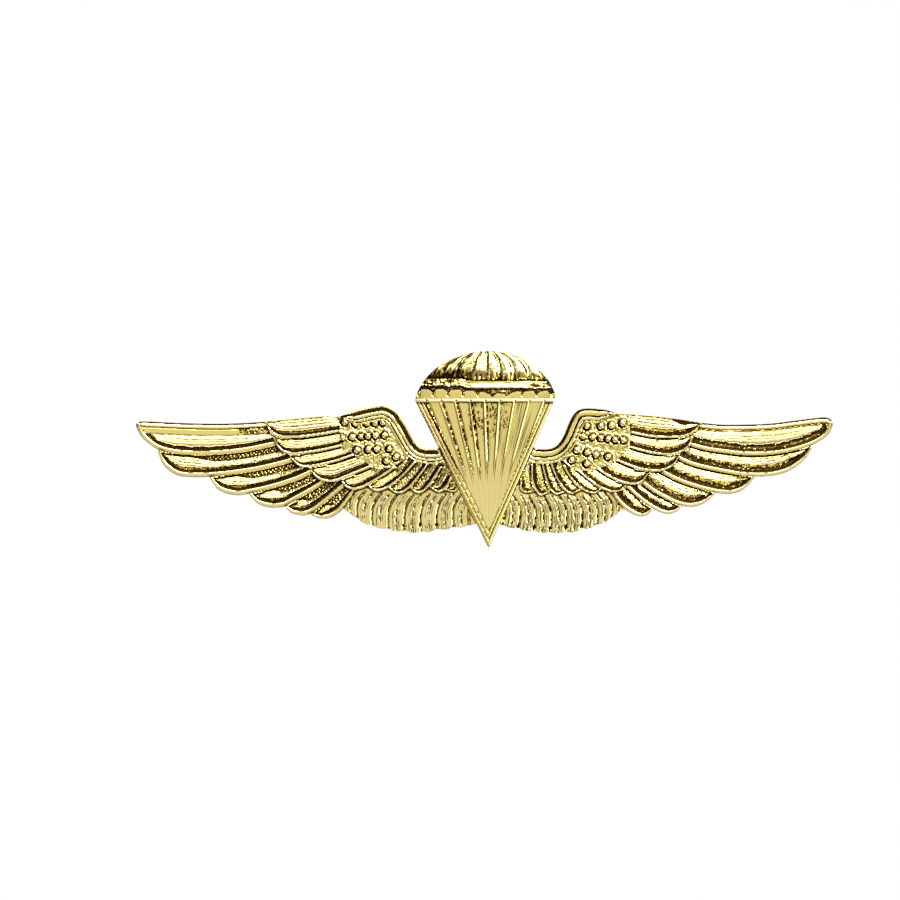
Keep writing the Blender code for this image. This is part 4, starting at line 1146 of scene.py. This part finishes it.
def leaf_layer(bm, path, halves, along, columns, direction, facing):
    """One face of a leaf: rows of vertices across it, from the notch at the post to the grip."""
    layer = []
    for i, ((px, py), half, (ax, ay)) in enumerate(zip(path, halves, along)):
        ribbed = RIB_START < py < RIB_END
        ribs = 0.5 - 0.5 * math.cos(2 * math.pi * (py - RIB_START) / RIB_PITCH) if ribbed else 0
        row = []
        for share in columns:
            z = share * half
            edge = math.sqrt(1 - min(0.97, abs(share)) ** 8)
            dent = 0.3 * ribs * (facing < 0) * (abs(share) < 0.8)
            thick = facing * LEAF_THICKNESS / 2 * edge * (1 - dent)
            notch = math.sqrt(max(0, NOTCH_RADIUS ** 2 - z * z)) if i < NOTCH_STEPS else 0
            row.append(bm.verts.new((direction * (max(px, notch) - ay * thick), py + ax * thick, z)))
        layer.append(row)
    return layer


def make_leaf(name, x, direction, body, node, materials):
    """A bent leaf: a notched jaw at the post, a neck through the cover's slot and a ribbed grip outside."""
    path = spline([(row[0], row[1]) for row in LEAF_ROWS], 0.07)
    halves = np.interp(np.linspace(0, len(LEAF_ROWS) - 1, len(path)), range(len(LEAF_ROWS)),
                       [row[2] for row in LEAF_ROWS])
    along = np.gradient(path, axis=0)
    along = along / np.hypot(*along.T)[:, None]
    columns = [math.sin(math.pi / 2 * k / 12) for k in range(-12, 13)]
    bm = bmesh.new()
    front, back = [leaf_layer(bm, path, halves, along, columns, direction, facing) for facing in (1, -1)]
    front_lines, back_lines = list(zip(*front)), list(zip(*back))
    for lines in (front_lines, back_lines):
        for low, high in zip(lines, lines[1:]):
            bridge(bm, low, high)
    for end in (0, -1):
        bridge(bm, front_lines[end], back_lines[end])
        bridge(bm, front[end], back[end])
    leaf = piece_from(name, bm, (x, 0, 0))
    finish_piece(leaf, materials, "wing_brass", body, node)


def make_spring(side, x, materials):
    """An open oval of round wire about both jaws, its cut ends rounded."""
    count = SPRING_STEPS
    angles = [2 * math.pi * k / SPRING_SIDES for k in range(SPRING_SIDES)]
    bm = bmesh.new()
    rings = []
    for i in range(count):
        angle = math.pi / 2 + SPRING_OPENING / 2 + (2 * math.pi - SPRING_OPENING) * i / (count - 1)
        centre = Vector((SPRING_HALF_X * math.cos(angle), SPRING_Y, SPRING_HALF_Z * math.sin(angle)))
        outward = Vector((math.cos(angle) / SPRING_HALF_X, 0, math.sin(angle) / SPRING_HALF_Z)).normalized()
        end_share = min(i, count - 1 - i, 3) / 3
        radius = SPRING_WIRE * (0.7 + 0.3 * math.sqrt(end_share * (2 - end_share)))
        around = [outward * math.cos(a) + Vector((0, 1, 0)) * math.sin(a) for a in angles]
        rings.append([bm.verts.new(centre + radius * offset) for offset in around])
    for low, high in zip(rings, rings[1:]):
        bridge(bm, low, high, True)
    bm.faces.new(rings[0])
    bm.faces.new(rings[-1])
    spring = piece_from(side + "_spring", bm, (x, 0, 0))
    finish_piece(spring, materials, "spring_steel", side + "_clutch", side + "_clutch_spring")


def make_fastenings(materials):
    for side, sign in (("left", -1), ("right", 1)):
        x = sign * POST_X
        make_post(side, x, materials)
        make_cover(side, x, materials)
        make_base(side, x, materials)
        make_spring(side, x, materials)
        for kind, direction in (("outer", sign), ("inner", -sign)):
            make_leaf(f"{side}_{kind}_leaf", x, direction, f"{side}_{kind}_wing",
                      f"{side}_clutch_{kind}_wing", materials)


# ---- materials


def feed(tree, node, inputs):
    """Sets inputs of the node, each to a value or to the output of another node."""
    for name, value in inputs.items():
        if isinstance(value, bpy.types.NodeSocket):
            tree.links.new(value, node.inputs[name])
        else:
            node.inputs[name].default_value = value


def add(tree, kind, inputs, output=0, **settings):
    """Adds a node to the tree; gives one of its outputs."""
    node = tree.nodes.new("ShaderNode" + kind)
    for name, value in settings.items():
        setattr(node, name, value)
    feed(tree, node, inputs)
    return node.outputs[output]


def add_noise(tree, scale, detail):
    place = add(tree, "TexCoord", {}, "Object")
    return add(tree, "TexNoise", {"Vector": place, "Scale": scale, "Detail": detail}, "Fac")


def add_span(tree, value, start, end, **settings):
    """The value moved from one range to another."""
    inputs = {"Value": value, "From Min": start[0], "From Max": start[1], "To Min": end[0], "To Max": end[1]}
    return add(tree, "MapRange", inputs, "Result", **settings)


def add_ramp(tree, value, stops):
    """A colour ramp through the stops of (position, colour)."""
    colours = add(tree, "ValToRGB", {"Fac": value}, "Color")
    elements = colours.node.color_ramp.elements
    for element, (position, colour) in zip(elements, (stops[0], stops[-1])):
        element.position = position
        element.color = (*colour, 1)
    for position, colour in stops[1:-1]:
        elements.new(position).color = (*colour, 1)
    return colours


def finish_metal(tree, colour, noise, low, high, height, strength, distance):
    """A metal of the colour, its roughness from low to high with the noise, and with fine bumps."""
    bumps = add(tree, "Bump", {"Height": height, "Strength": strength, "Distance": distance}, "Normal")
    roughness = add_span(tree, noise, (0.3, 0.7), (low, high))
    feed(tree, tree.nodes["Principled BSDF"],
         {"Metallic": 1, "Base Color": colour, "Roughness": roughness, "Normal": bumps})


def new_material(name):
    material = bpy.data.materials.new(name)
    material.use_nodes = True
    return material, material.node_tree


def gold_plate():
    """Gold plate with an orange-peel surface, painted paler on the crests as a painted highlight and darker
    in the recesses as painted shade.
    """
    material, tree = new_material("gold_plate")
    painted_shade_and_highlight = add(tree, "Attribute", {}, "Fac", attribute_name="painted_shade_and_highlight")
    noise = add_noise(tree, 2400, 3)
    patchy = add(tree, "Math", {0: noise, 1: 0.04, 2: painted_shade_and_highlight}, operation="MULTIPLY_ADD")
    # The painted shade and highlight, with a little noise, placed on the colour ramp.
    shade_share = add_span(tree, patchy, (RECESS_LOW, RECESS_HIGH), (0, 1))
    finish_metal(tree, add_ramp(tree, shade_share, GOLD_STOPS), noise, 0.09, 0.20, noise, 0.3, 0.00002)
    return material


def mottled(tree, colour, darker, scale):
    """A cloudy noise, and the colour mottled with a darker share of it."""
    cloud = add_noise(tree, scale, 4)
    dark = [channel * darker for channel in colour]
    return cloud, add_ramp(tree, cloud, [(0.35, dark), (0.65, colour)])


def turned_metal(name, colour, low, high):
    """Pressed and turned brass: fine rings about the post, and a soft variation in polish."""
    material, tree = new_material(name)
    cloud, tint = mottled(tree, colour, 0.78, 500)
    split = add(tree, "SeparateXYZ", {"Vector": add(tree, "TexCoord", {}, "Object")}).node
    plane = add(tree, "CombineXYZ", {axis: split.outputs[axis] for axis in ("X", "Z")})
    radius = add(tree, "VectorMath", {0: plane}, "Value", operation="LENGTH")
    rings = add(tree, "TexNoise", {"W": radius, "Scale": 9000}, "Fac", noise_dimensions="1D")
    finish_metal(tree, tint, cloud, low, high, rings, 0.25, 0.00002)
    return material


def cloudy_metal(name, colour, low, high, scale):
    """Drawn wire or set solder: a mottled surface with an uneven polish."""
    material, tree = new_material(name)
    cloud, tint = mottled(tree, colour, 0.75, scale)
    finish_metal(tree, tint, cloud, low, high, cloud, 0.4, 0.00004)
    return material


def make_materials():
    return {
        "gold_plate": gold_plate(),
        "post_brass": turned_metal("post_brass", (0.80, 0.62, 0.26), 0.16, 0.30),
        "clutch_brass": turned_metal("clutch_brass", (0.86, 0.68, 0.29), 0.14, 0.28),
        "wing_brass": cloudy_metal("wing_brass", (0.84, 0.65, 0.27), 0.18, 0.34, 900),
        "spring_steel": cloudy_metal("spring_steel", (0.58, 0.58, 0.57), 0.2, 0.35, 1500),
        "solder": cloudy_metal("solder", (0.62, 0.61, 0.58), 0.32, 0.55, 1800),
    }


def white_floor():
    """A matt white paper sheet with a faint tooth."""
    material, tree = new_material("pale_floor")
    tooth = add(tree, "Bump", {"Height": add_noise(tree, 900, 2), "Strength": 0.1, "Distance": 0.0001})
    feed(tree, tree.nodes["Principled BSDF"],
         {"Base Color": (0.95, 0.95, 0.94, 1), "Roughness": 0.9, "Normal": tooth})
    return material


# ---- stage


def make_camera():
    """A long lens straight in front, at the height and offset that frame the badge as pictured."""
    camera = bpy.data.cameras.new("camera")
    camera.sensor_width = SENSOR_WIDTH
    camera.lens = SENSOR_WIDTH * CAMERA_DISTANCE / FRAME_WIDTH
    camera.clip_start = 0.01
    obj = placed("camera", camera, (CAMERA_X, -CAMERA_DISTANCE, CAMERA_Z))
    obj.rotation_euler = (math.pi / 2, 0, 0)
    bpy.context.scene.camera = obj


def studio_brightness(tree):
    """The studio's glows over its dark; each is round, and its angles are in degrees."""
    toward = add(tree, "TexCoord", {}, "Generated")
    total = STUDIO_DARK
    for direction, inner, outer, strength in STUDIO_GLOWS:
        aim = Vector(direction).normalized()
        dot = add(tree, "VectorMath", {0: toward, 1: aim}, "Value", operation="DOT_PRODUCT")
        reach = [math.cos(math.radians(angle)) for angle in (outer, inner)]
        glow = add_span(tree, dot, reach, (0, strength), interpolation_type="SMOOTHSTEP")
        total = add(tree, "Math", {0: total, 1: glow}, operation="ADD")
    return total


def make_world():
    """A dark studio with soft lights, mostly up and to the right; the backdrop itself is white."""
    world = bpy.data.worlds.new("studio")
    world.use_nodes = True
    tree = world.node_tree
    studio = tree.nodes["Background"]
    feed(tree, studio, {"Strength": studio_brightness(tree), "Color": (1, 0.99, 0.97, 1)})
    white = add(tree, "Background", {"Color": (1, 1, 1, 1)})
    seen = add(tree, "LightPath", {}, "Is Camera Ray")
    backdrop = add(tree, "MixShader", {"Fac": seen, 1: studio.outputs["Background"], 2: white})
    feed(tree, tree.nodes["World Output"], {"Surface": backdrop})
    bpy.context.scene.world = world


def make_light(name, location, size, power):
    """A square soft box aimed at the badge."""
    light = bpy.data.lights.new(name, "AREA")
    light.shape = "RECTANGLE"
    light.size = light.size_y = size
    light.energy = power
    obj = placed(name, light, location)
    obj.rotation_euler = Vector(location).to_track_quat("Z", "Y").to_euler()


def make_stage():
    bpy.ops.mesh.primitive_plane_add(size=FLOOR_SIZE, location=(0, 0, FLOOR_Z))
    floor = bpy.context.object
    floor.name = "floor"
    floor.data.materials.append(white_floor())
    floor.visible_glossy = False
    make_light("key", (0.30, -0.40, 0.36), 0.16, 2.5)
    make_light("back_light", (-0.3, 0.45, 0.35), 0.3, 2)
    make_world()
    make_camera()
    bpy.context.scene.view_settings.view_transform = "Standard"


def main():
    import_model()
    materials = make_materials()
    make_wings(materials)
    make_parachute(materials)
    make_fastenings(materials)
    make_stage()


main()
